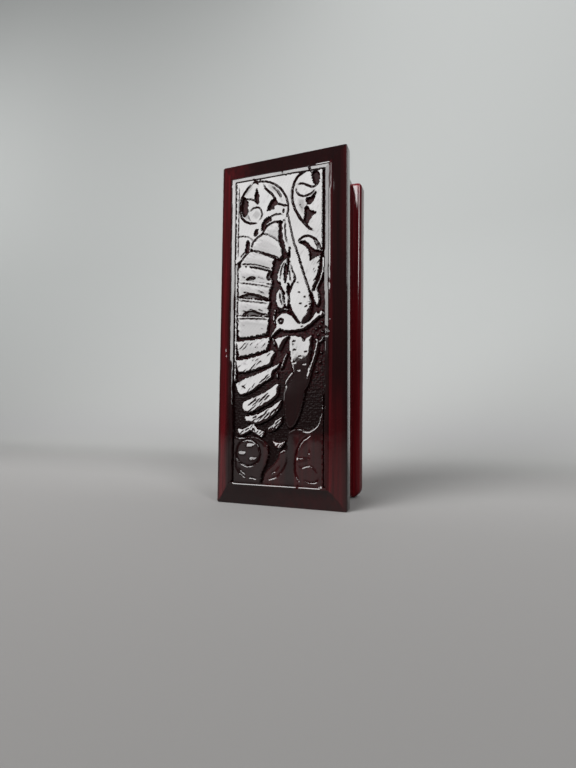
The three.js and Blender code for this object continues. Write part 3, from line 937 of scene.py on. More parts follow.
bpy.ops.mesh.select_all(action="SELECT")
bpy.ops.mesh.normals_make_consistent(inside=False)
bpy.ops.object.mode_set(mode="OBJECT")
lid_size = [round(side / MM, 2) for side in lid.dimensions]
print("the lid has", len(lid.data.polygons), "faces and measures", lid_size)

# %% [markdown]
# A lid's corners are rubbed round with sandpaper. Near each corner a point is moved from a square ring
# onto a round ring about the corner's own centre.

# %% Round the lid's corners
lid_points = np.empty(len(lid.data.vertices) * 3)
lid.data.vertices.foreach_get("co", lid_points)
lid_points = lid_points.reshape(-1, 3)
for side_x, edge_x in ((-1, lid_low.x), (1, lid_high.x)):
    for side_z, edge_z in ((-1, lid_low.z), (1, lid_high.z)):
        away_x = side_x * (lid_points[:, 0] - edge_x) + CORNER_ROUND
        away_z = side_z * (lid_points[:, 2] - edge_z) + CORNER_ROUND
        there = (away_x > 0) & (away_z > 0)
        square = np.maximum(away_x[there], away_z[there])
        round_in = square / np.hypot(away_x[there], away_z[there])
        lid_points[there, 0] += side_x * away_x[there] * (round_in - 1)
        lid_points[there, 2] += side_z * away_z[there] * (round_in - 1)
print("the corners are rounded to", CORNER_ROUND / MM, "mm")

# %% [markdown]
# The carving is a relief: every point of the grid gets a height, in millimetres, above or below the level
# where the bevel ends. Three tools cut it, as a carver's do. A raised shape stands out of the sunk ground
# and may be domed or tilted. A pocket is a sunk area inside a shape. A groove is a V-shaped cut that runs
# out at both ends. Outlines are in millimetres from the lid's lower left corner, with few points, and a
# smooth curve is drawn through them. A point with a third number is a sharp corner.

# %% The relief's heights
GROUND = -2.2
WOBBLE = 0.17

face_points = np.flatnonzero(np.abs(lid_points[:, 1] - grid_y) < FLAT)
true_across = (lid_points[face_points, 0] - lid_low.x) / MM
true_upward = (lid_points[face_points, 2] - lid_low.z) / MM
height = np.full(len(face_points), GROUND)
# dulled holds how much shine each point loses: a painted shade in the cuts and on shaded shapes.
dulled = np.zeros(len(face_points))

# No hand-cut edge is quite smooth, so the places at which the outlines are looked up wander a little.
across = true_across + WOBBLE * (np.sin(true_upward * 1.15 + 2 * np.sin(true_across * 0.55)) * 0.7
                                 + np.sin(true_upward * 2.9 - true_across * 0.9) * 0.4)
upward = true_upward + WOBBLE * (np.sin(true_across * 1.35 + 2 * np.sin(true_upward * 0.45)) * 0.7
                                 + np.sin(true_across * 2.6 + true_upward * 1.1) * 0.4)
print("the carving has", len(face_points), "points to move")

# %% [markdown]
# Every tool needs a smooth line through its points, the face's points near it, how far each of them is
# from the line, and how deep it lies inside a closed one.

# %% Lines and distances
CURVE_STEPS = 6



def curve_through(points, closed):
    """A smooth line through the points, as an array. A point with a third number is a corner."""
    places = np.array([point[:2] for point in points], float)
    if closed:
        before, after = np.roll(places, 1, 0), np.roll(places, -1, 0)
    else:
        before = np.vstack([places[:1], places[:-1]])
        after = np.vstack([places[1:], places[-1:]])
    slopes = (after - before) / 2
    for index, point in enumerate(points):
        if len(point) > 2:
            slopes[index] = 0
    shares = np.arange(CURVE_STEPS)[:, None] / CURVE_STEPS
    pieces = []
    for index in range(len(points) if closed else len(points) - 1):
        following = (index + 1) % len(points)
        start, end = places[index], places[following]
        start_slope, end_slope = slopes[index], slopes[following]
        cubed, squared = shares ** 3, shares ** 2
        pieces.append(
            (2 * cubed - 3 * squared + 1) * start
            + (cubed - 2 * squared + shares) * start_slope
            + (3 * squared - 2 * cubed) * end
            + (cubed - squared) * end_slope
        )
    pieces.append(places[:1] if closed else places[-1:])
    return np.vstack(pieces)


def nearby(line, margin):
    """Indices of the face's points in the line's bounding box, with a margin."""
    low, high = line.min(0) - margin, line.max(0) + margin
    return np.flatnonzero((across > low[0]) & (across < high[0]) & (upward > low[1]) & (upward < high[1]))


def distance_to(line, where):
    """For each point: how far it is from the line, and how far along the line that is, from 0 to 1."""
    x, z = across[where], upward[where]
    steps = np.diff(line, axis=0)
    lengths = np.hypot(steps[:, 0], steps[:, 1])
    run = np.concatenate([[0], np.cumsum(lengths)])
    nearest = np.full(len(where), np.inf)
    along = np.zeros(len(where))
    for index in np.flatnonzero(lengths > 0):
        step_x, step_z = steps[index]
        share = ((x - line[index, 0]) * step_x + (z - line[index, 1]) * step_z) / lengths[index] ** 2
        share = np.clip(share, 0, 1)
        away = np.hypot(x - line[index, 0] - share * step_x, z - line[index, 1] - share * step_z)
        closer = away < nearest
        nearest[closer] = away[closer]
        along[closer] = (run[index] + share[closer] * lengths[index]) / run[-1]
    return nearest, along


def depth_inside(line, where):
    """How far each point lies inside a closed line. It is negative outside."""
    x, z = across[where], upward[where]
    inside = np.zeros(len(where), bool)
    for (x0, z0), (x1, z1) in zip(line[:-1], line[1:]):
        if z0 != z1:
            crosses = ((z0 > z) != (z1 > z)) & (x < (x1 - x0) * (z - z0) / (z1 - z0) + x0)
            inside ^= crosses
    away, along = distance_to(line, where)
    return np.where(inside, away, -away)


def eased(share):
    """A share from 0 to 1 that starts and ends gently."""
    share = np.clip(share, 0, 1)
    return share * share * (3 - 2 * share)


def eased_from(value, zero_at, one_at):
    """0 up to the first mark, 1 past the second, and gentle between. The marks may fall as well as rise."""
    return eased((value - zero_at) / (one_at - zero_at))


print("lines and distances are ready, with", CURVE_STEPS, "steps from point to point")

# %% [markdown]
# Now the tools. They also note where the shine is to be dulled: all of it in a pocket or a deep cut, part
# of it in a shallow one, and none on a shape that is raised later. A cut is read off the picture with its
# soft edges, so the V itself is somewhat narrower than the width that is given.

# %% Tools for the relief
CUT_SHARE = 0.68
CUT_END = 0.25
NARROWEST = 0.45
# Dulling the shine in cuts and pockets paints shade into them.
DULL_DEPTH = 0.45
DULL_FULLNESS = 1.6
DULL_MARGIN = 0.2
RIDGE_END = 0.3
RIDGE_FULLNESS = 1.35
RING_POINTS = 8


def fullness(along, run_out, least):
    """How full a line is: it starts low at both ends, and is whole past the run-out share."""
    return eased(np.minimum(along, 1 - along) / run_out * (1 - least) + least)


def raised(outline, level=0.0, dome=0.3, reach=4.0, wall=0.7, lean=(0, 0), grow=0.25):
    """A shape that stands out of the ground. Lean gives its rise per millimetre to the right and upwards."""
    line = curve_through(outline, True)
    where = nearby(line, wall + grow)
    inside = depth_inside(line, where) + grow
    crown = dome * (1 - (1 - np.clip(inside / reach, 0, 1)) ** 2)
    middle = line.mean(0)
    slope = lean[0] * (across[where] - middle[0]) + lean[1] * (upward[where] - middle[1])
    top = level + crown + slope
    stand = GROUND + (top - GROUND) * eased(inside / wall + 0.5)
    dulled[where] = np.where(stand > height[where], 0, dulled[where])
    height[where] = np.maximum(height[where], stand)


def pocket(outline, depth=2.0, wall=0.7):
    """A sunk area with sloping walls."""
    line = curve_through(outline, True)
    where = nearby(line, wall)
    share = eased(depth_inside(line, where) / wall + 0.5)
    height[where] = height[where] * (1 - share) + np.minimum(height[where], -depth) * share
    # The pocket's shine is dulled, a painted shade.
    dulled[where] = np.maximum(dulled[where], share)


def groove(points, width=1.5, depth=0.9, run_out=0.3, closed=False):
    """A V-shaped cut along a line. It gets thinner over the run-out share at each end."""
    line = curve_through(points, closed)
    where = nearby(line, width)
    away, along = distance_to(line, where)
    ends = 1.0 if closed else fullness(along, run_out, CUT_END)
    half = CUT_SHARE * width / 2 * (NARROWEST + (1 - NARROWEST) * ends)
    height[where] -= depth * ends * np.clip(1 - away / half, 0, 1)
    # The cut's shine is dulled towards its middle, a painted shade.
    across_cut = np.clip(DULL_FULLNESS * (1 - away / (half + DULL_MARGIN)), 0, 1)
    dulled[where] = np.maximum(dulled[where], min(depth / DULL_DEPTH, 1) * ends * across_cut)


def shade(outline, amount, soft=2.0):
    """Dulls the shine over an area, more towards its middle, without a cut: a painted shade."""
    line = curve_through(outline, True)
    where = nearby(line, 0.5)
    dulled[where] = np.maximum(dulled[where], amount * eased(depth_inside(line, where) / soft))


def ridge(points, width=1.3, level=-0.1, run_out=0.2):
    """A thin raised line, such as a stem."""
    line = curve_through(points, False)
    where = nearby(line, width)
    away, along = distance_to(line, where)
    ends = fullness(along, run_out, RIDGE_END)
    across_ridge = np.clip(RIDGE_FULLNESS * (1 - (away / (width * ends)) ** 2), 0, 1)
    stand = GROUND + (level - GROUND) * across_ridge
    dulled[where] = np.where(stand > height[where], 0, dulled[where])
    height[where] = np.maximum(height[where], stand)


def ring(centre, radius):
    """Points of a circle, for a closed cut."""
    turns = [2 * math.pi * step / RING_POINTS for step in range(RING_POINTS)]
    return [(centre[0] + radius * math.cos(turn), centre[1] + radius * math.sin(turn)) for turn in turns]


print("the tools are sharp, and the ground lies", -GROUND, "mm down")

# %% [markdown]
# First come the plain areas that stay at the board's old level: the top of the field with its two
# scrolls, the right-hand leaf with its long petal, and the foot of the field.

# %% The parts of the field that stay high
raised([
    (15.2, 262.4, 1), (40, 262.2), (64, 261.6), (89.2, 261, 1), (89.3, 230), (89.2, 200, 1), (66, 199, 1),
    (60.4, 204, 1), (59.6, 208), (58.9, 214), (58.6, 225, 1), (53, 224.3, 1), (46, 223.8), (42, 221.2),
    (38.6, 216.4), (34.4, 213.2), (31, 210.4), (28.8, 204), (24.4, 201), (20, 195.6, 1), (15.4, 193, 1),
    (15.2, 230),
], dome=0.1, reach=3)
groove([(17.4, 259), (17.5, 240), (17.3, 220), (17.5, 198)], width=1.5, depth=0.4, run_out=0.05)
raised([
    (15.3, 97, 1), (17.1, 97, 1), (17, 130), (17.2, 160), (17.1, 194, 1), (15.3, 194, 1),
], level=-0.35, dome=0.15, reach=1)
raised([
    (55.9, 224.6, 1), (59.2, 224.6, 1), (59.6, 214), (60.6, 206.6), (62, 200.6), (60.6, 196.4, 1),
    (59, 200), (58, 205), (56.2, 210.4), (55.9, 217),
], dome=0.1, reach=2)
raised([
    (61, 226, 1), (64, 214), (67, 203.5), (70, 195), (74, 181.5), (77.7, 169.5), (80.8, 164, 1),
    (82.7, 166.5), (85, 173), (87.3, 180.5), (88.6, 187.5), (89.2, 200), (89.2, 225, 1),
], dome=0.25, reach=5)
raised([
    (16.6, 17.6, 1), (16.6, 53.5, 1), (24, 52.5), (34, 53.6), (41, 51), (45.5, 46.5, 1), (46, 40),
    (44, 33), (41, 26), (39.2, 17.6, 1),
], dome=0.1, reach=3)
raised([
    (41.6, 17.6, 1), (43.6, 25), (47, 29.5), (51.5, 33.5), (54.3, 38), (56, 42.5), (61, 45), (61.5, 52),
    (63, 58, 1), (68, 60), (73, 60.2), (78, 59.4), (84, 62), (87.6, 68), (89, 76), (89.4, 86, 1),
    (90, 86, 1), (90, 17.6, 1),
], dome=0.1, reach=3)
groove([(71, 61.4), (76, 58.6), (81, 59.4), (85.4, 63.4), (87.6, 69)], width=1.8, depth=0.7)
print(int((height > GROUND).sum()), "points stand above the ground")

# %% [markdown]
# The tail or fan at the left is a column of broad feathers. Each is a slightly domed tile with a thin rib
# along its upper edge, and a few slits towards its lower edge. The lower ones are flatter, and lean, so
# that they still catch the light. Each feather's outline is followed by its dome's rise and its lean. On
# the upper ones, a painted shade dulls the shine towards their lower edges.

# %% Fan of feathers
FEATHERS = [
    ([
        (40.6, 214.8), (40.8, 219), (44, 222.6), (48.5, 223.8), (53, 222.8, 1), (53, 208.6, 1),
        (50, 210.6), (46, 212.6),
    ], 0.105, 0.0),
    ([
        (29.6, 204.8), (31, 209.6), (34.6, 213), (39, 215.4), (43, 214.8), (47, 212.4), (51, 209.6),
        (54, 207), (56.6, 203.8), (57, 199), (55.6, 195), (53.4, 194), (48, 196.6), (40, 200.2),
        (34, 202.3),
    ], 0.35, 0.0),
    ([
        (28.6, 202.6), (38, 199.6), (46, 196), (49, 194.4), (48, 190), (47.4, 184.8, 1), (40, 187.6),
        (33, 189.6), (26, 190.8), (20.3, 191.6), (20.6, 195), (23.4, 199),
    ], 0.35, 0.0),
    ([
        (19, 190.4), (26, 189.8), (34, 187.9), (41, 185.7), (46.9, 183.2, 1), (45.6, 180), (47.6, 176.8),
        (47.2, 173.9, 1), (40, 175.7), (30, 177.7), (18.4, 179.9, 1), (18, 185),
    ], 0.315, 0.0),
    ([
        (18.3, 179.2, 1), (30, 177), (40, 174.9), (47.2, 172.8, 1), (45.6, 168.4), (45.2, 162, 1),
        (38, 163.4), (28, 165.2), (18.4, 165.9, 1), (18, 172),
    ], 0.315, 0.0),
    ([
        (18.2, 165, 1), (28, 163.6), (38, 161.7), (46.2, 159.8, 1), (45, 155), (45, 148.8, 1), (36, 150),
        (26, 150.6), (18.2, 150.3, 1), (17.8, 157),
    ], 0.28, 0.0),
    ([
        (18.1, 149.4, 1), (28, 149.2), (36, 148.6), (45, 147.4, 1), (44.6, 140), (43.8, 134.4, 1),
        (34, 133.5), (26, 132.8), (19.5, 132.6, 1), (18.6, 140),
    ], 0.14, 0.0),
    ([
        (17, 129.8, 1), (24, 130), (33, 130.5), (40, 131.1), (46.4, 132, 1), (45.4, 126),
        (43.9, 121.5, 1), (36, 119.7), (28, 118), (19.6, 116.8, 1), (17.7, 124),
    ], 0.14, -0.03),
    ([
        (16.3, 114.4, 1), (22, 114.8), (30, 115.9), (38, 118), (44, 120), (49.2, 121.2), (50.6, 118.6),
        (48.8, 114.5), (47, 109.6, 1), (40, 107.8), (32, 105.6), (25, 104.4), (19, 104.2, 1), (17.4, 109),
    ], 0.14, -0.035),
    ([
        (16.6, 95.4, 1), (21, 97.4), (25, 99.5), (32, 101.7), (39, 104.3), (46, 107.3), (51, 109.4),
        (55.2, 111.8, 1), (53.4, 107.6), (49.6, 104.4), (48.3, 99.6, 1), (42, 96), (36, 92), (29, 88),
        (21.5, 86), (18.4, 89.5),
    ], 0.14, -0.04),
    ([
        (23.8, 80.4), (28, 82.6), (35, 85.2), (42, 88.4), (47, 91.4), (51, 94.2), (54.2, 94.4),
        (54.2, 89), (53, 85, 1), (48, 81), (41, 77), (34, 73.6), (27, 72), (23.2, 75),
    ], 0.14, -0.05),
    ([
        (25.4, 69), (29, 70), (34, 70.8), (39, 72.4), (44, 75.2), (49, 77.6), (53, 80.6), (56.4, 82.4, 1),
        (55.6, 77), (51, 71), (45, 66.6), (38, 63.4), (31, 64), (26.4, 65.4),
    ], 0.14, -0.06),
    ([
        (45.4, 60.4), (49.6, 63.4), (52, 66.6), (57.4, 69.4, 1), (57.2, 65), (54, 61), (49.4, 58),
        (46, 57.6),
    ], 0.14, -0.05),
    ([
        (18.3, 56.6), (19.6, 59.8), (24, 59.4), (28, 61.4), (32, 63.6), (35, 61.8), (38, 59.2),
        (42.6, 58.2, 1), (42, 54.4), (38.4, 53.4), (35.4, 55.4), (31, 57.4), (27, 55.6), (23.4, 53.8),
        (19.6, 54.6),
    ], 0.14, -0.1),
    ([
        (49.2, 50.8, 1), (52.2, 50), (55, 49.2), (57.6, 50), (60.4, 50.8, 1), (58.2, 47), (54.5, 44.8),
        (51.3, 46.8),
    ], 0.14, -0.13),
]
FEATHER_LEVEL = -0.1
CLOSE_FEATHERS = 7
CLOSE_GROW = 0.55
LOOSE_GROW = 0.2
HIGH_FEATHERS = 6
HIGH_REACH = 4.0
LOW_REACH = 2.6
# Painted shade: on the upper feathers the shine is dulled inside a copy of each outline, moved down.
SHADE_PAINTED_FEATHERS = 8
SHADE_PAINTED_SHIFT = (0.5, -3.5)
SHADE_PAINTED_AMOUNT = 0.22

for number, (outline, rise, lean) in enumerate(FEATHERS):
    grow = CLOSE_GROW if number < CLOSE_FEATHERS else LOOSE_GROW
    reach = HIGH_REACH if number < HIGH_FEATHERS else LOW_REACH
    raised(outline, level=FEATHER_LEVEL, dome=rise, reach=reach, wall=0.7, lean=(0, lean), grow=grow)
    if number < SHADE_PAINTED_FEATHERS:
        dimmed = [(x + SHADE_PAINTED_SHIFT[0], z + SHADE_PAINTED_SHIFT[1]) for x, z, *_ in outline]
        shade(dimmed, SHADE_PAINTED_AMOUNT, soft=3.5)
print(len(FEATHERS), "feathers and leaves make the fan")

# %% [markdown]
# A groove under each upper edge leaves the rib standing. Slits part the feather's barbs, and soft ones
# only dent it. Some slits open into dark wedges, which are pockets, and a painted shade makes the
# feathers greyer in between.

# %% Ribs and slits of the feathers
RIBS = [
    [(30.5, 203), (36, 201.8), (42, 199.4), (48, 196.9), (54, 193.9)],
    [(20, 193), (27, 192.2), (34, 190.8), (41, 188.4), (47, 186)],
    [(18.5, 177.9), (30, 175.6), (40, 173.5), (47.2, 171)],
    [(18.3, 163.3), (28, 161.6), (38, 159.8), (44.5, 158.6)],
    [(18.3, 147.9), (28, 147.5), (36, 146.8), (45, 145.7)],
]
for rib in RIBS:
    groove(rib, width=1.7, depth=0.5, run_out=0.1)
groove([
    (29.2, 205.6), (30.8, 210), (34.4, 213.3), (38.6, 216), (40.6, 219), (43.6, 222.4), (47.6, 224),
], width=1.6, depth=0.5, run_out=0.05)
groove([(39.2, 216.2), (43.6, 215), (48.6, 212), (53, 208.6)], width=1.5, depth=0.5, run_out=0.05)
SLITS = [
    [(26, 180.2), (30, 181.8), (34, 180)], [(34, 181.4), (38, 179.8), (42, 178)],
    [(21, 182.6), (25, 181)], [(19.5, 166.2), (28, 168), (36, 165.9), (44, 162.8)],
    [(21, 169.8), (26, 168.8), (30, 167.4)], [(34, 169.8), (39, 168), (43, 165.4)],
    [(20, 154.6), (25, 153.2), (31, 151.6)], [(26, 155.6), (32, 153.8), (38, 151.2)],
    [(35, 155), (41, 152.2)], [(22, 93.6), (26, 91.2)], [(37.5, 95.2), (42, 98.4), (46.5, 102.6)],
    [(43, 97.6), (47, 101)], [(29, 77.8), (33, 80.6), (36, 83.4)], [(36.5, 79.4), (41, 83), (46, 88)],
    [(42, 81.5), (47, 85.8)], [(38, 66), (42, 70), (46, 74.4)], [(43, 68), (46.5, 71.6)],
    [(33, 67.4), (35.5, 69.6)], [(25.5, 57.4), (29.5, 60.2)], [(34.4, 57.4), (32, 60.6)],
]
SOFT_SLITS = [
    [(30.5, 204.9), (36, 203.9), (43, 201.4), (50, 198.2)], [(33, 207.3), (40, 205.7), (48, 202)],
    [(22, 194.4), (30, 193.9), (38, 191.8)], [(24, 197), (31, 196.6)], [(21, 145), (26, 143.6)],
    [(29, 144), (35, 142.6), (41, 140.8)], [(38, 139), (43, 137.4)], [(22, 111.6), (28, 110.4)],
    [(36, 113), (41, 111.4)], [(23, 127.4), (30, 126)], [(33, 124), (38, 123)],
]
for slit in SLITS:
    groove(slit, width=1.2, depth=0.5, run_out=0.4)
for slit in SOFT_SLITS:
    groove(slit, width=1.7, depth=0.15, run_out=0.5)
DARK_WEDGES = [
    [
        (19, 165.6), (24, 166.8), (28.5, 167.4), (33, 166.4), (39, 164), (45.4, 162.2, 1), (36, 163.2),
        (28, 164.6),
    ],
    [(25.5, 179.6), (28.5, 180.9), (33, 180.4), (31, 179.2)],
    [(23.5, 151.3), (28, 153.4), (33, 152.8), (38, 151), (44, 149.6, 1), (34, 150)],
    [(44.4, 182.6), (46, 183), (45.6, 177.6), (43.6, 179.4)],
]
SHADED = [
    [(20, 146), (30, 145.6), (42, 143.4), (43, 139.6), (32, 141), (21, 142)],
    [(20, 185), (30, 184.4), (40, 181.4), (45, 178.6), (44, 176.6), (34, 178.4), (22, 180.6)],
    [(22, 197), (32, 195.6), (42, 191.6), (46, 188), (36, 190.4), (24, 192.4)],
    [(21, 171.6), (28, 171), (36, 169.4), (43, 166), (42, 164), (32, 167.4), (22, 168)],
    [(20, 157), (28, 157), (36, 155), (43, 152), (42, 150), (32, 153), (22, 153.4)],
]
# The SHADED patches are painted shade: only their shine is dulled, with no cut.
GREY = 0.3
for patch in SHADED:
    shade(patch, GREY)
for wedge in DARK_WEDGES:
    pocket(wedge, depth=1.3, wall=0.8)
print(len(RIBS), "ribs,", len(SLITS), "slits and", len(DARK_WEDGES), "wedges are cut")

# %% [markdown]
# A light gouge drawn over a surface leaves fine strokes side by side. They are too fine to model truly,
# so they are drawn a little coarser, and dice with a fixed seed place them.

# %% Fine gouge strokes
SEED = 11
STROKE_TURN = 9
STROKE_REACH = (0.3, 0.6)
STROKE_WIDTH = 1.6
STROKE_MARGIN = 0.8
STROKES_IN_FEATHER = 24
UPPER_BEARING = -28
LOWER_BEARING = 48
dice = np.random.default_rng(SEED)


def strokes(outline, count, bearing, length=8, depth=0.1):
    """Fine strokes at random places inside an outline, all in about the same direction, given in degrees."""
    line = curve_through(outline, True)
    low, high = line.min(0), line.max(0)
    for _ in range(count):
        middle = dice.uniform(low, high)
        turn = math.radians(bearing + dice.uniform(-STROKE_TURN, STROKE_TURN))
        half = length * dice.uniform(*STROKE_REACH)
        reach_x, reach_z = half * math.cos(turn), half * math.sin(turn)
        spot = nearby(middle[None, :], 0.5)
        if len(spot) and depth_inside(line, spot[:1])[0] > STROKE_MARGIN:
            x, z = middle
            stroke = [(x - reach_x, z - reach_z), (x, z), (x + reach_x, z + reach_z)]
            groove(stroke, width=STROKE_WIDTH, depth=depth, run_out=0.5)


for number, feather in enumerate(FEATHERS):
    bearing = UPPER_BEARING if number < CLOSE_FEATHERS else LOWER_BEARING
    strokes(feather[0], STROKES_IN_FEATHER, bearing, depth=0.15)
strokes([(62, 250), (88, 250), (88, 205), (72, 205)], 40, 55, length=5)
strokes([(18, 230), (40, 230), (50, 262), (18, 262)], 26, 60, length=4)
strokes([(71, 200), (78, 190), (88, 190), (81, 166), (74, 184)], 22, 58, length=6, depth=0.14)
print("the strokes are drawn")

# %% [markdown]
# The bird flies towards the left. Its upper wing goes up to the top of the field, its lower wing hangs
# down into the shade, and its tail runs out to the right. Little punch marks dot both wings.

# %% The bird
raised([
    (60.2, 222, 1), (60.2, 214), (61.4, 208), (63, 203.5), (62.8, 197), (62.6, 191), (63.5, 185),
    (65.4, 180), (67.2, 176.4), (65.4, 172.4), (63.6, 168), (62.9, 163), (63, 157), (64.5, 152),
    (67, 147.5), (69.4, 144), (72, 141, 1), (76.4, 142.6), (79.8, 146), (81.2, 151.5), (80.8, 158),
    (79, 164.4), (76.6, 172), (72.6, 184.4), (68.4, 197.4), (64.8, 209.4),
], level=0, dome=0.35, reach=6)
raised([
    (51, 143), (52, 147), (54.9, 149.2), (58.6, 149.9), (62.6, 149), (65.9, 146.6), (68.4, 143.6),
    (70.6, 141.4), (73.6, 141), (77.6, 141.7), (81.2, 144.8), (84.2, 150, 1), (86, 148.4), (86.8, 145),
    (83, 142), (79.4, 139), (75, 136.3), (70, 135.6), (64, 135.4), (59, 135.9), (55.6, 137.2), (53, 136),
    (50, 133.2), (47, 130.8, 1), (47.8, 134), (50.2, 137), (52, 139.4),
], level=0.05, dome=0.2, reach=2.4, lean=(0, -0.02))
raised([(86.4, 147), (88, 150), (90.2, 149.4), (90.2, 146.4), (88, 145.2)], dome=0.3, reach=2)
raised([
    (63.2, 131.9, 1), (66.5, 132.1), (70, 131.1), (73, 130.2), (75, 127, 1), (77, 129.8), (81, 132, 1),
    (81, 127), (80, 119), (79, 110), (78, 100), (76, 90), (74, 80), (71, 70), (67.5, 63), (63.5, 60.5),
    (60.5, 65), (59.5, 73), (58.5, 82), (58.8, 89), (61.5, 96), (66.3, 103.3, 1), (65, 108), (63.8, 114),
    (63, 122),
], level=-0.15, dome=0.12, reach=2, lean=(0, -0.003))
raised([
    (50.2, 129.9), (55, 131.4), (62, 132.4, 1), (59.6, 128.6), (57, 124), (55, 120.7, 1), (53, 122),
    (51.4, 125.5),
], level=-0.2, dome=0.4, reach=3)

EYE = (55.8, 143.7)
EYE_RING = 1.75
groove(ring(EYE, EYE_RING), width=1.6, depth=1.0, closed=True)
# Painted shade: the middle of the eye is dulled to grey.
shade([(54, 142), (57.6, 142), (57.6, 145.4), (54, 145.4)], 0.6, soft=0.8)
groove([(63, 149.3), (66.5, 146.4), (69.2, 143), (71.5, 140.6)], width=1.5, depth=0.8)
groove([(53.6, 136.6), (50.6, 133.9), (48.2, 131.5)], width=0.9, depth=0.4)
groove([(72.4, 138.1), (74.8, 138.6)], width=1.1, depth=0.5)

WING_SPOTS = [
    (69.5, 173), (71, 165), (75.5, 161), (72, 156), (76.5, 153.5), (67, 127), (67.4, 120.4), (72, 115),
    (67, 111), (75, 109.5), (70.4, 105), (76.5, 118.6),
]
for x, z in WING_SPOTS:
    groove([(x - 1.1, z + 0.1), (x, z + 0.25), (x + 1.1, z - 0.2)], width=1.4, depth=0.6, run_out=0.5)
print("the bird has", len(WING_SPOTS), "punch marks on its wings")

# %% [markdown]
# Between the fan and the bird lie slender leaves, and a thin stem runs down at the right. They stand in
# the sunk ground like the bird.

# %% Leaves and stems
raised([
    (60, 194.2, 1), (56, 190.6), (53.3, 184.6), (52, 179), (52.5, 175.5), (54.6, 174.4), (55.4, 171.4),
    (57.4, 167.4), (59.8, 164.8, 1), (60.8, 169), (61, 176), (60.3, 183), (60.6, 189),
], level=-0.15, dome=0.2, reach=2)
groove([(59.6, 192.6), (56.4, 187), (55.2, 182), (54.9, 176)], width=1.2, depth=0.7)
pocket([(58.9, 189.4), (58, 184), (58, 179), (59, 173.6), (60.1, 179), (60.3, 185)], depth=1.6, wall=0.7)
raised([
    (62.3, 191.2, 1), (61.7, 185), (60.9, 179), (61.4, 174), (63.3, 170.4), (65, 172.4), (66.9, 176, 1),
    (66, 179), (64.6, 183),
], level=-0.15, dome=0.2, reach=2)
groove([
    (62.8, 192), (63.9, 186.4), (65.6, 181.4), (67.5, 176.6), (65, 171.8), (63.2, 166),
], width=1.5, depth=0.7)
groove([(62.9, 186), (62.7, 181), (63.3, 176.4), (64.6, 173.4)], width=1.4, depth=0.7)
raised([
    (51.2, 160), (51.2, 165), (53, 168.8), (55.4, 169), (56.9, 165), (57.4, 161), (58.3, 157),
    (58, 153.8), (55.5, 153.4), (52.4, 155.4),
], level=-0.2, dome=0.3, reach=2)
groove([(54.5, 168), (54.8, 163), (56, 158.4), (57.6, 155)], width=1.2, depth=0.8)
raised([
    (58, 164.4), (60.3, 166), (61.9, 163), (62, 158), (61, 154.8), (59, 155.4), (58.5, 160),
], level=-0.2, dome=0.3, reach=2)
ridge([(50.9, 141.5), (49.4, 145), (49.9, 150), (51, 153.6)], width=0.9, level=-0.3)
ridge([(52.4, 151.2), (56.4, 153.2), (60.6, 152.6), (63.8, 149.8)], width=0.9, level=-0.3)
ridge([(48.4, 131.6), (49.9, 128), (50, 124.6)], width=0.9, level=-0.3)
ridge([(61.2, 118.8), (58.6, 113.4), (55.9, 105.8)], width=1.3, level=-0.2)
ridge([(52.7, 104.4), (52.8, 101.5), (52.6, 98.6)], width=1.1, level=-0.3)
ridge([(59.4, 93.2), (62.4, 98), (66.6, 103.6)], width=2.3, level=0.2)
# Painted shade: the lower wing's left edge is dulled so that its lit rim stays dark.
shade([(56.5, 93), (60.6, 93), (60.6, 79), (56.5, 79)], 1, soft=0.6)
ridge([
    (85.6, 128.8), (84.8, 121), (83.2, 114.5), (80.8, 108), (79, 101.5), (77.4, 95), (75.6, 89),
], width=2.1, level=0)
ridge([(82.4, 129), (85, 127.4), (87.6, 126.3), (91, 130.5)], width=1.2, level=-0.1)
raised([
    (80.4, 169.6), (82.6, 169), (84.8, 167.4), (86.4, 163.4), (87.1, 157), (85.8, 154), (84, 155.4),
    (82.4, 159.8), (80.8, 165),
], level=-0.15, dome=0.15, reach=2)
SPECKS = [
    (84.6, 103.5), (87.4, 110.6), (89, 134), (88.6, 141.4), (84.2, 136.4), (87, 138), (85.5, 131.8),
    (88.3, 118),
]
for x, z in SPECKS:
    raised([(x - 0.9, z), (x, z + 0.8), (x + 0.9, z), (x, z - 0.8)], level=-0.8, dome=0.2, reach=1, wall=0.8)
print("the leaves, stems and", len(SPECKS), "specks stand in the ground")

# %% [markdown]
# The upper left scroll is a round coil with a knob at its heart and a leaf that splits off to the right.
# The upper right one is a long comma with a bean-shaped leaf in its head. Broad grooves draw them, and
# pockets go down to the ground.

# %% Upper left scroll
groove([
    (30, 259.6), (25.4, 256), (21.4, 251), (19, 245), (18.7, 238), (20.4, 232), (24, 228), (29, 226),
    (35, 225.8),
], width=2.2, depth=1.3, run_out=0.15)
groove([
    (28, 260), (34, 260.3), (40, 259.6), (46, 257.5), (52, 253.4), (56.6, 248.2), (59.8, 242), (61, 236),
    (60.7, 231), (59.4, 226),
], width=1.8, depth=1.0, run_out=0.1)
groove([(45, 256), (49.6, 251.8), (52.8, 247.4), (55, 242.6)], width=1.4, depth=0.7)
groove([
    (39.3, 258.8), (41, 254.2), (44, 250.6), (47.6, 247), (50, 243.2), (51.6, 239.8),
], width=1.9, depth=1.1)
groove([(50.4, 239.6), (54, 238.3), (57.5, 236.9), (61, 236)], width=1.9, depth=1.1)
pocket([
    (43, 234.6, 1), (44.2, 238), (46.4, 242), (49, 243.6), (51.2, 241), (51, 239), (49, 238.2),
    (48.4, 235.6), (46, 235),
])
groove([(23, 247.4), (26.5, 246.9), (30, 245.7), (33, 243.8), (34.6, 241.6)], width=1.6, depth=0.9)
pocket([(33.6, 254.4, 1), (31.7, 247.6), (32.5, 244.4), (34.8, 241.2, 1), (35.3, 246), (34.8, 250)])
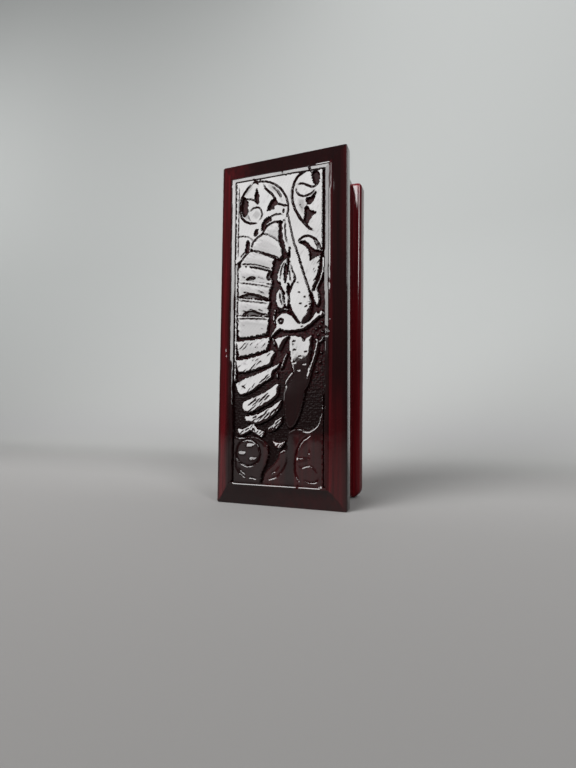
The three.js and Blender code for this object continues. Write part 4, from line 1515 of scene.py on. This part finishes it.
pocket([
    (21.6, 249.2, 1), (20.2, 243), (20.4, 237), (22.6, 232.6), (25.4, 235.6), (25.4, 240), (25.9, 243.6),
    (24.4, 246), (23.5, 247.6),
])
groove([
    (24.6, 236.3), (28, 236.8), (31, 238.7), (34.4, 238.7), (37.2, 236.4), (38.4, 232.8), (37.4, 229.2),
    (34.6, 227),
], width=1.4, depth=0.8)
groove([(25.4, 234.6), (27, 230.4), (29, 227.4)], width=1.2, depth=0.5)
pocket([
    (38.2, 219, 1), (38.5, 223.6), (41.4, 227.7), (45.6, 229.2), (46.3, 226.4), (43, 224.6), (41.3, 222),
    (40.4, 219.2),
], depth=1.8)
groove([(45, 229), (50, 230.4), (54, 230.3), (57.4, 228.8)], width=1.5, depth=0.8)
groove([
    (40.6, 219.2), (43.4, 222.2), (47, 223.9), (51, 224.5), (55, 223.9), (58.2, 222.6),
], width=1.4, depth=0.7)
groove([(57.2, 234.4), (56.8, 230.6)], width=1.9, depth=0.9)
pocket([(31.8, 216), (32.8, 219.4), (35, 220.3), (34.5, 217), (33, 215.4)], depth=1.4, wall=0.8)
pocket([
    (53.4, 223.6), (54.9, 223.6), (55.4, 217), (55.4, 210), (57.4, 204.6), (58.4, 200), (57.6, 195),
    (56.4, 196), (56, 201), (54.4, 206.4), (53.2, 210), (53.4, 217),
], depth=1.9, wall=0.8)
groove([(58.4, 227), (58.5, 218), (58.9, 212), (60, 207.6), (61.9, 203.8)], width=1.4, depth=0.8)
groove([
    (15.6, 215.4), (19, 216.5), (23, 215.9), (27, 214.6), (29.5, 212.5), (30.6, 210.4),
], width=1.4, depth=0.5, run_out=0.1)
pocket([
    (24, 203), (24.5, 207), (25.2, 211), (26.9, 211.2), (27.4, 207), (27, 203), (25.5, 202.2),
], depth=1.8, wall=0.8)
groove([(19.4, 197.6), (21.5, 200.6), (24.2, 203.2)], width=1.2, depth=0.6)
groove([(20.3, 194.8), (23.6, 199.4), (28.4, 202.8)], width=1.3, depth=0.6)
print("the upper left scroll is cut, and", round(float(dulled.mean()), 3), "of the face's shine is dulled")

# %% Upper right scroll
groove([
    (79, 262), (74.5, 261.4), (70, 259.3), (67, 255.8), (65, 251), (64.3, 246), (64.6, 240), (66, 234.5),
    (68.5, 229), (71.5, 224), (75.2, 219.2), (79.2, 215), (83.6, 212),
], width=2.3, depth=1.3, run_out=0.12)
pocket([(81, 260), (84.3, 260.4), (86.7, 256.5), (86.2, 252), (84.3, 249.8), (82, 252.2), (81, 256)])
groove([
    (67, 251.8), (70, 252.4), (74, 251.7), (77.5, 249.8), (80.5, 248.3), (83.5, 248.5), (86, 250.4),
], width=1.8, depth=1.0)
groove([
    (68.2, 250.8), (67.9, 247.5), (69.3, 244.2), (72.5, 242.1), (76, 241.7), (80, 243), (84.4, 246.2),
], width=1.7, depth=1.0)
pocket([(84, 244, 1), (80.5, 240.4), (76.5, 239.5), (76.7, 236.2), (79.3, 234.8), (82.2, 238.5)])
pocket([
    (75, 231.2), (77, 233), (78.8, 229.8), (84.2, 227.2, 1), (80.8, 225.1), (78.5, 222), (77, 218.8, 1),
    (74.2, 222), (75, 226.5),
])
groove([(77.6, 236.4), (76.2, 233.6), (76.4, 230.6)], width=1.1, depth=0.5)
groove([(70.6, 237.6), (71.4, 234), (73.6, 231)], width=1.0, depth=0.4)
print("the upper right scroll is cut, and the deepest cut is", round(float(height.min()), 2), "mm")

# %% A last groove, and painted shade, on the upper scrolls
groove([(50.6, 252), (53.4, 248), (55.4, 243)], width=1.7, depth=0.6)
# Painted shade: the knob, the coil's inside and top, a leaf and the comma's inside get their shine dulled.
shade([(33.6, 228.2), (38, 232.6), (33.6, 237), (29.2, 232.6)], 0.35)
shade([
    (20.4, 248), (20, 240), (21, 233), (24.6, 228.8), (27.4, 231), (25.6, 236), (26, 242), (25.4, 246),
], 0.6, soft=3)
shade([(21.6, 250.4), (24, 254.6), (28, 257.6), (31, 257), (28, 253), (24.4, 249.4)], 0.4)
shade([
    (42.4, 257), (46.4, 256.6), (50.6, 252.6), (54.6, 247), (56.8, 240.6), (55, 239.6), (52.4, 244.4),
    (48.6, 248.6), (44.4, 252),
], 0.3, soft=1.5)
shade([
    (68.4, 246), (70, 241.6), (74.8, 240), (76, 235), (75, 229), (73, 226), (70.4, 229.6), (68, 237),
], 0.45, soft=3)
print("now", round(float(dulled.mean()), 3), "of the face's shine is dulled")

# %% [markdown]
# One long groove parts the bird's upper wing from the right-hand leaf, whose tip curls over. Pockets
# beside the leaf go down to the ground, and a thin ridge edges it at the right.

# %% The wing's long line, and the leaf at the right
groove([
    (60.4, 231), (61.8, 224), (63.2, 217.6), (64.9, 210.4), (66.6, 204), (69.1, 197), (73, 184),
    (77, 172), (79.8, 163.6), (82.6, 157),
], width=1.5, depth=0.9, run_out=0.06)
groove([
    (69.4, 205.4), (72, 207.9), (75.5, 209.3), (79.5, 208.7), (83.5, 206), (86.9, 201), (88.8, 195.6),
], width=1.9, depth=1.1, run_out=0.1)
groove([(82, 206), (84.9, 201.5), (86.4, 196.3)], width=1.5, depth=0.9)
pocket([
    (70, 205), (74, 203.3), (77.3, 200), (79, 196), (79.1, 189.4, 1), (81.5, 191.2), (85.5, 192.6),
    (88.4, 195.2), (85.5, 196.8), (83, 197.4), (80.4, 199.4), (77.4, 203.2), (74, 205.7),
])
pocket([
    (88.4, 195.4), (87.4, 188), (86.4, 181), (84.4, 174), (81.4, 166, 1), (83.6, 166.4), (86.6, 173),
    (88.8, 181), (89.5, 188),
])
pocket([
    (80.2, 163), (81.8, 158.2), (83.4, 154.6), (85, 152.6), (84, 149.6), (81, 146), (78.4, 143.4),
    (80, 149), (81, 156), (79.4, 162),
])
ridge([
    (89.9, 192.5), (90, 185), (88.8, 177.5), (86.2, 171), (83.4, 165.6),
], width=1.4, level=0, run_out=0.1)
print("the wing and the right-hand leaf are parted")

# %% [markdown]
# The foot of the field mirrors the dark room, so little of it shows. It repeats the upper corners: a coil
# at the left, a comma at the right, and a broad leaf between them. Four small facets are turned up to the
# lamp, and are the only bright spots there.

# %% Lower scrolls
COIL = (29, 41.2)
COIL_RADIUS = 10.4
groove(ring(COIL, COIL_RADIUS), width=2.2, depth=1.2, closed=True)
UPTURNED = [
    [(27.2, 45.8), (29, 48.6), (33.8, 48.4), (35, 46.8), (32, 45.2), (29, 44.8)],
    [(20.4, 40.4), (22, 42), (25, 41.4), (27.2, 40.6), (25.6, 38.8), (22, 38.8)],
    [(30, 36.2), (33, 37.4), (36.8, 38), (37, 36.4), (34, 34.6), (31, 34.6)],
    [(69, 36.2), (71, 38.8), (75, 39.6), (79.4, 38.8), (79.8, 37.4), (75, 36.2), (71.6, 35.6)],
]
# How far painted shade dims each upturned facet's highlight.
UPTURNED_PAINTED_SHADE = (0.3, 0.5, 0.65, 0.2)
for outline in UPTURNED:
    raised(outline, level=0.3, dome=0.05, reach=2, lean=(0, -0.16))
for outline, amount in zip(UPTURNED, UPTURNED_PAINTED_SHADE):
    shade(outline, amount, soft=0.5)
groove([(18.2, 39), (18.4, 34), (19, 29.6), (21, 26.4), (24, 23.4), (27.8, 21.2)], width=1.6, depth=0.9)
groove([(20, 29.4), (23.4, 26.4), (27, 24.4)], width=1.5, depth=0.8)
groove([(29.4, 21.4), (33, 21.8), (37, 20.8)], width=1.4, depth=0.8)
groove([
    (43.6, 21.6), (47, 21.4), (51, 22.4), (55, 25), (58.6, 29.4), (61.2, 35), (62.2, 41),
], width=1.5, depth=0.8)
groove([(48, 25), (53, 28.4), (56.6, 33)], width=1.2, depth=0.5)
groove([
    (80.4, 55.8), (75.6, 53), (71.6, 48.5), (69.1, 42.5), (68.3, 36), (68.4, 30), (69.6, 24.6),
    (72.4, 20.2),
], width=2.3, depth=1.3, run_out=0.12)
groove([(70.6, 33.2), (74, 31.6), (79.4, 33), (83.4, 31), (86.6, 27)], width=1.4, depth=0.6)
groove([(74.6, 22.6), (79, 20.9), (84, 21), (88, 25)], width=1.5, depth=0.9)
groove([(80, 45.4), (78.8, 41.4)], width=1.4, depth=0.7)
# Painted shade: the lit upper rims of the foot's two plateaus are dulled to dark.
shade([
    (16, 56), (16, 51), (24, 52.4), (32, 52), (38, 49.6), (42.6, 45.4), (45.6, 47), (41, 53), (32, 56),
    (24, 56),
], 1, soft=0.6)
shade([(61, 56.6), (69, 57.6), (72.4, 60.4), (70, 62.4), (61, 61)], 1, soft=0.6)
print("both lower scrolls are cut")

# %% [markdown]
# The bead is a broad, flat-topped moulding all round the field. Its line wanders a little, because it was
# cut by eye, and along the bottom it is only half as wide. Outside it the bevels fall away to the lid's
# edges. A few slips of the gouge nick the bead and the bevels.

# %% Bead and bevels
BEAD_WIDTH = 4.0
BOTTOM_BEAD_WIDTH = 2.3
BOTTOM_BEAD_RIM = 0.5
BEAD_HIGH = BEAD_PROUD / MM
BEAD_FLATNESS = 12
BEAD_ROUNDNESS = 0.7
BEAD_LEAN = 0.09
LEAN_INSIDE = 0.95
TOP_DROP = 1.3
LID_MIDDLE = 50

# The sides are counted from the left one, which is 0.
RIGHT, BOTTOM, TOP = 1, 2, 3

lid_width = (lid_high.x - lid_low.x) / MM
lid_height = (lid_high.z - lid_low.z) / MM
bead_left = BORDER_LEFT / MM
bead_right = lid_width - BORDER_RIGHT / MM
bead_bottom = BORDER_BOTTOM / MM
bead_top = lid_height - BORDER_TOP / MM

run_across = np.clip((true_across - bead_left) / (bead_right - bead_left), 0, 1)
wander = (
    0.2 * np.sin(true_upward / 23) + 0.13 * np.sin(true_upward / 9.1 + 1) + 0.06 * np.sin(true_upward / 1.9)
)
side_distances = np.stack([
    true_across - bead_left - wander * (true_across < LID_MIDDLE),
    bead_right - true_across - wander * (true_across >= LID_MIDDLE),
    true_upward - bead_bottom,
    bead_top - TOP_DROP * run_across ** 2 - true_upward,
])
from_edge = side_distances.min(0)
nearest_side = side_distances.argmin(0)
is_bottom = nearest_side == BOTTOM
bead_width = np.where(is_bottom, BOTTOM_BEAD_WIDTH, BEAD_WIDTH)
bead_share = np.clip(from_edge / bead_width, 0, 1)
from_middle = np.abs(2 * bead_share - 1)
crown = np.clip(1 - from_middle ** BEAD_FLATNESS, 0, 1) ** BEAD_ROUNDNESS
outer_side = BEAD_HIGH * crown
inner_side = GROUND + (BEAD_HIGH - GROUND) * crown
bead_height = np.where(bead_share <= 0.5, outer_side, inner_side)

# Low down the bead leans outwards, and along the bottom it falls away into the field behind a narrow rim.
low_down = eased_from(true_upward, 118, 108)
bead_height = bead_height - BEAD_LEAN * low_down * (bead_width - from_edge) * (bead_share < LEAN_INSIDE)
past_rim = np.clip(from_edge - BOTTOM_BEAD_RIM, 0, None)
off_corners = eased_from(true_across, 15, 17) * eased_from(true_across, 89, 87)
fall = off_corners * (0.08 * past_rim + 0.3 * past_rim ** 2)
bottom_height = BEAD_HIGH * np.clip(from_edge / BOTTOM_BEAD_RIM, 0, 1) - fall
bead_height = np.where(is_bottom, bottom_height, bead_height)
in_bead = (from_edge > 0) & (bead_share < 1) & ((bead_share <= 0.5) | (bead_height > height))

bevel_share = np.stack([
    (bead_left - true_across) / (BORDER_LEFT / MM),
    (true_across - bead_right) / (BORDER_RIGHT / MM),
    (bead_bottom - true_upward) / (BORDER_BOTTOM / MM),
    (true_upward - bead_top) / (BORDER_TOP / MM),
]).max(0)
on_bevel = from_edge <= 0
bevel_height = -BEVEL_RISE / MM * np.clip(bevel_share, 0, 1)
height = np.where(on_bevel, bevel_height, np.where(in_bead, bead_height, height))
dulled = np.where(on_bevel | in_bead, 0, dulled)

# Each nick is a line, its width and its depth.
NICKS = [
    ([(77.6, 271), (78.6, 264), (80.6, 259.6)], 2.4, 0.9),
    ([(30.4, 263.4), (32.4, 260.6), (35, 257.8)], 2.2, 0.8),
    ([(55.4, 266.5), (56.6, 261.5)], 1.2, 0.4),
    ([(91.4, 137.6), (95, 133.6)], 1.8, 0.7),
    ([(91, 131.6), (94.6, 130)], 1.6, 0.6),
    ([(69.6, 14.6), (71, 18.6)], 2.6, 0.8),
    ([(25, 270.4), (27.5, 270.9), (30.5, 270.9)], 1.1, 0.35),
    ([(35, 270.2), (37, 270.5)], 1.0, 0.3),
    ([(6.9, 130), (7.2, 124), (7.9, 118), (8.2, 114)], 1.2, 0.45),
    ([(8.2, 203), (8, 196), (8.5, 190)], 1.0, 0.3),
    ([(100.8, 270), (100.6, 268)], 1.0, 0.12),
    ([(100.6, 250.6), (100.9, 248.2)], 1.0, 0.12),
    ([(100.7, 228.8), (100.4, 226.4)], 1.0, 0.12),
    ([(99.6, 168), (99.3, 165.6)], 1.0, 0.12),
    ([(98.1, 262), (98.3, 246), (98, 232), (98.4, 222)], 1.4, 0.2),
    ([(98.3, 214), (98.1, 204), (98.5, 196)], 1.4, 0.2),
]
across, upward = true_across, true_upward
for points, width, depth in NICKS:
    groove(points, width=width, depth=depth)
dulled = np.where(on_bevel, 0, dulled)
print("the bead and bevels are cut, with", len(NICKS), "slips of the gouge")

# %% [markdown]
# The sunk ground is punched all over with a blunt nail, close enough that no flat patch is left to shine.
# Slow waves keep the tops from being quite flat.

# %% Punched ground and waves
PUNCH_SPACING = 1.7
PUNCH_RADIUS = 0.95
PUNCH_DEPTH = 0.35
PUNCH_SCATTER = 0.55
DEEP_SHARE = 0.72
BORDER_WAVES = 0.3

waves = 0.05 * np.sin(across / 3.1 + upward / 9) + 0.03 * np.sin(upward / 3.7 - across / 6 + 2)
height += waves * np.where(in_bead | on_bevel, BORDER_WAVES, 1.0) * np.clip(np.abs(from_edge), 0, 1)

punch_x = np.arange(bead_left, bead_right, PUNCH_SPACING)
punch_z = np.arange(bead_bottom, bead_top, PUNCH_SPACING)
punches = np.stack(np.meshgrid(punch_x, punch_z), -1).reshape(-1, 2)
punches += dice.uniform(-PUNCH_SCATTER, PUNCH_SCATTER, punches.shape)
deep = (height < GROUND * DEEP_SHARE) & ~on_bevel
column_of = ((across - bead_left) / PUNCH_SPACING).astype(int)
row_of = ((upward - bead_bottom) / PUNCH_SPACING).astype(int)
nearest_punch = np.full(len(height), np.inf)
for column_step in (-1, 0, 1):
    for row_step in (-1, 0, 1):
        column = np.clip(column_of + column_step, 0, len(punch_x) - 1)
        row = np.clip(row_of + row_step, 0, len(punch_z) - 1)
        punch = punches[row * len(punch_x) + column]
        away = np.hypot(across - punch[:, 0], upward - punch[:, 1])
        nearest_punch = np.minimum(nearest_punch, away)
height -= PUNCH_DEPTH * np.clip(1 - nearest_punch / PUNCH_RADIUS, 0, 1) * deep
print("the ground has", len(punches), "punch places; heights run from", round(float(height.min()), 2))

# %% [markdown]
# The heights are now put into the mesh. None stands above the bead's top, and no cut goes deeper than
# LOWEST.

# %% Put the relief into the lid
HAIR = 0.02
HIGHEST = BEAD_HIGH - HAIR
LOWEST = -2.98

height = np.where(on_bevel, height, np.clip(height, LOWEST, HIGHEST))
lid_points[face_points, 1] = bevel_top_y - height * MM
lid.data.vertices.foreach_set("co", lid_points.ravel())
print("heights now run from", round(float(height.min()), 2), "to", round(float(height.max()), 2), "mm")

# %% [markdown]
# The stain is thick over the carving. On the side bevels it was rubbed thin in bands, redder along the
# left bevel's middle and the right bevel's inner edge, foot and upper outer edge, and the end bevels
# stayed dark. The rubbed attribute holds that for every point of the lid. It is worked out side by side,
# from how far out on the bevel a point lies, which is 0 at the bead and 1 at the lid's edge.

# %% Where the stain is rubbed thin
CARVED_RUBBED = 0.05

point_across = (lid_points[:, 0] - lid_low.x) / MM
point_upward = (lid_points[:, 2] - lid_low.z) / MM
shares = np.stack([
    (bead_left - point_across) / (BORDER_LEFT / MM),
    (point_across - bead_right) / (BORDER_RIGHT / MM),
    (bead_bottom - point_upward) / (BORDER_BOTTOM / MM),
    (point_upward - bead_top) / (BORDER_TOP / MM),
])
side = shares.argmax(0)
out = shares.max(0)
left_band = 0.15 + 0.45 * eased_from(out, 0.05, 0.4) * eased_from(out, 1.0, 0.7)
inner_red = eased_from(out, 0.2, 0.1)
low_red = eased_from(point_upward, 110, 50) * eased_from(out, 0.9, 0.6)
high_red = eased_from(point_upward, 170, 230) * eased_from(out, 0.68, 0.83) * eased_from(out, 1, 0.96)
right_band = 0.08 + 0.3 * inner_red + 0.3 * low_red + 0.3 * high_red
bottom_band = 0.05 + 0.1 * eased_from(point_across, 25, 85) * eased_from(out, 0, 0.5)
top_band = 0.06 + 0.3 * eased_from(point_across, 34, 4)
rubbed = np.choose(side, [left_band, right_band, bottom_band, top_band])

# The carving is redder in one place, at the foot of the field, but not on the lower right scroll's stem.
off_stem = 1 - eased_from(point_across, 58, 61) * eased_from(point_across, 69, 66)
red_foot = 0.15 * eased_from(point_across, 40, 46) * eased_from(point_upward, 60, 52) * off_stem
rubbed = np.where(out > 0, rubbed, CARVED_RUBBED + red_foot)
attribute = lid.data.attributes.new("rubbed", "FLOAT", "POINT")
attribute.data.foreach_set("value", np.clip(rubbed, 0, 1))
print("the stain is rubbed by", round(float(rubbed.min()), 2), "to", round(float(rubbed.max()), 2))

# %% [markdown]
# The gloss attribute says how clear the lacquer is. It is dull in the cuts, a painted shade there, and
# calmer on the bead, more so at the right; on the left bead it is duller lower down, which paints the
# bead's highlight fainter there. Elsewhere it was brushed on in streaks and swirls. Handling has dulled
# the upper part of the right bevel, most of all near its outer edge.

# %% How clear the lacquer is
CUT_DULL = 0.85
RIGHT_BEAD_DULL = 0.42
TOP_BEAD_DULL = 0.24
BRUSHED_SHARE = 0.1
SWIRLED_SHARE = 0.05
EDGE_STARTS = 0.97

gloss = np.ones(len(lid_points))
is_right = true_across > lid_width / 2
# Painted shade: the bead's shine is dulled, on the left more so lower down.
bead_dull = np.where(is_right, RIGHT_BEAD_DULL, 0.14 + 0.24 * eased_from(true_upward, 200, 150))
bead_dull = np.where(nearest_side == TOP, TOP_BEAD_DULL, bead_dull) * in_bead * ~is_bottom
brushed = 0.5 + 0.5 * np.sin(across / 4.3 + 2 * np.sin(upward / 11)) * np.sin(upward / 6.7 - across / 17)
swirled = 0.5 + 0.5 * np.sin(2.1 * across - 1.3 * upward + 3 * np.sin(upward / 5))
uneven = bead_dull + BRUSHED_SHARE * brushed + SWIRLED_SHARE * swirled
gloss[face_points] -= CUT_DULL * dulled + uneven * (1 - dulled)
on_right = (out > 0) & (out < EDGE_STARTS) & (side == RIGHT)
gloss -= on_right * (0.6 * high_red + 0.25 * eased_from(point_upward, 190, 230))
attribute = lid.data.attributes.new("gloss", "FLOAT", "POINT")
attribute.data.foreach_set("value", gloss)
lid.data.update()
print("the lacquer's gloss runs from", round(float(gloss.min()), 2), "to", round(float(gloss.max()), 2))

# %% [markdown]
# The lid's back is bare wood between the long walls, and the deep parts of the field get the punched
# ground.

# %% The lid's materials
PLAIN, BARE, PUNCHED = range(3)
PUNCHED_BELOW = 1.35 * MM
LID_SMOOTH = 55

for face in lid.data.polygons:
    middle = face.center
    face.material_index = PLAIN
    if face.normal.y > 0.5 and abs(middle.x) < side_low.x:
        face.material_index = BARE
    inside_bead = bead_box[0] < middle.x < bead_box[1] and bead_box[2] < middle.z < bead_box[3]
    if inside_bead and bevel_top_y + PUNCHED_BELOW < middle.y < arris_y:
        face.material_index = PUNCHED
smooth_by_angle(lid, LID_SMOOTH)
finish_piece(lid, "lid", ["lid_board"], [carved_wood, inside_wood, ground_wood])
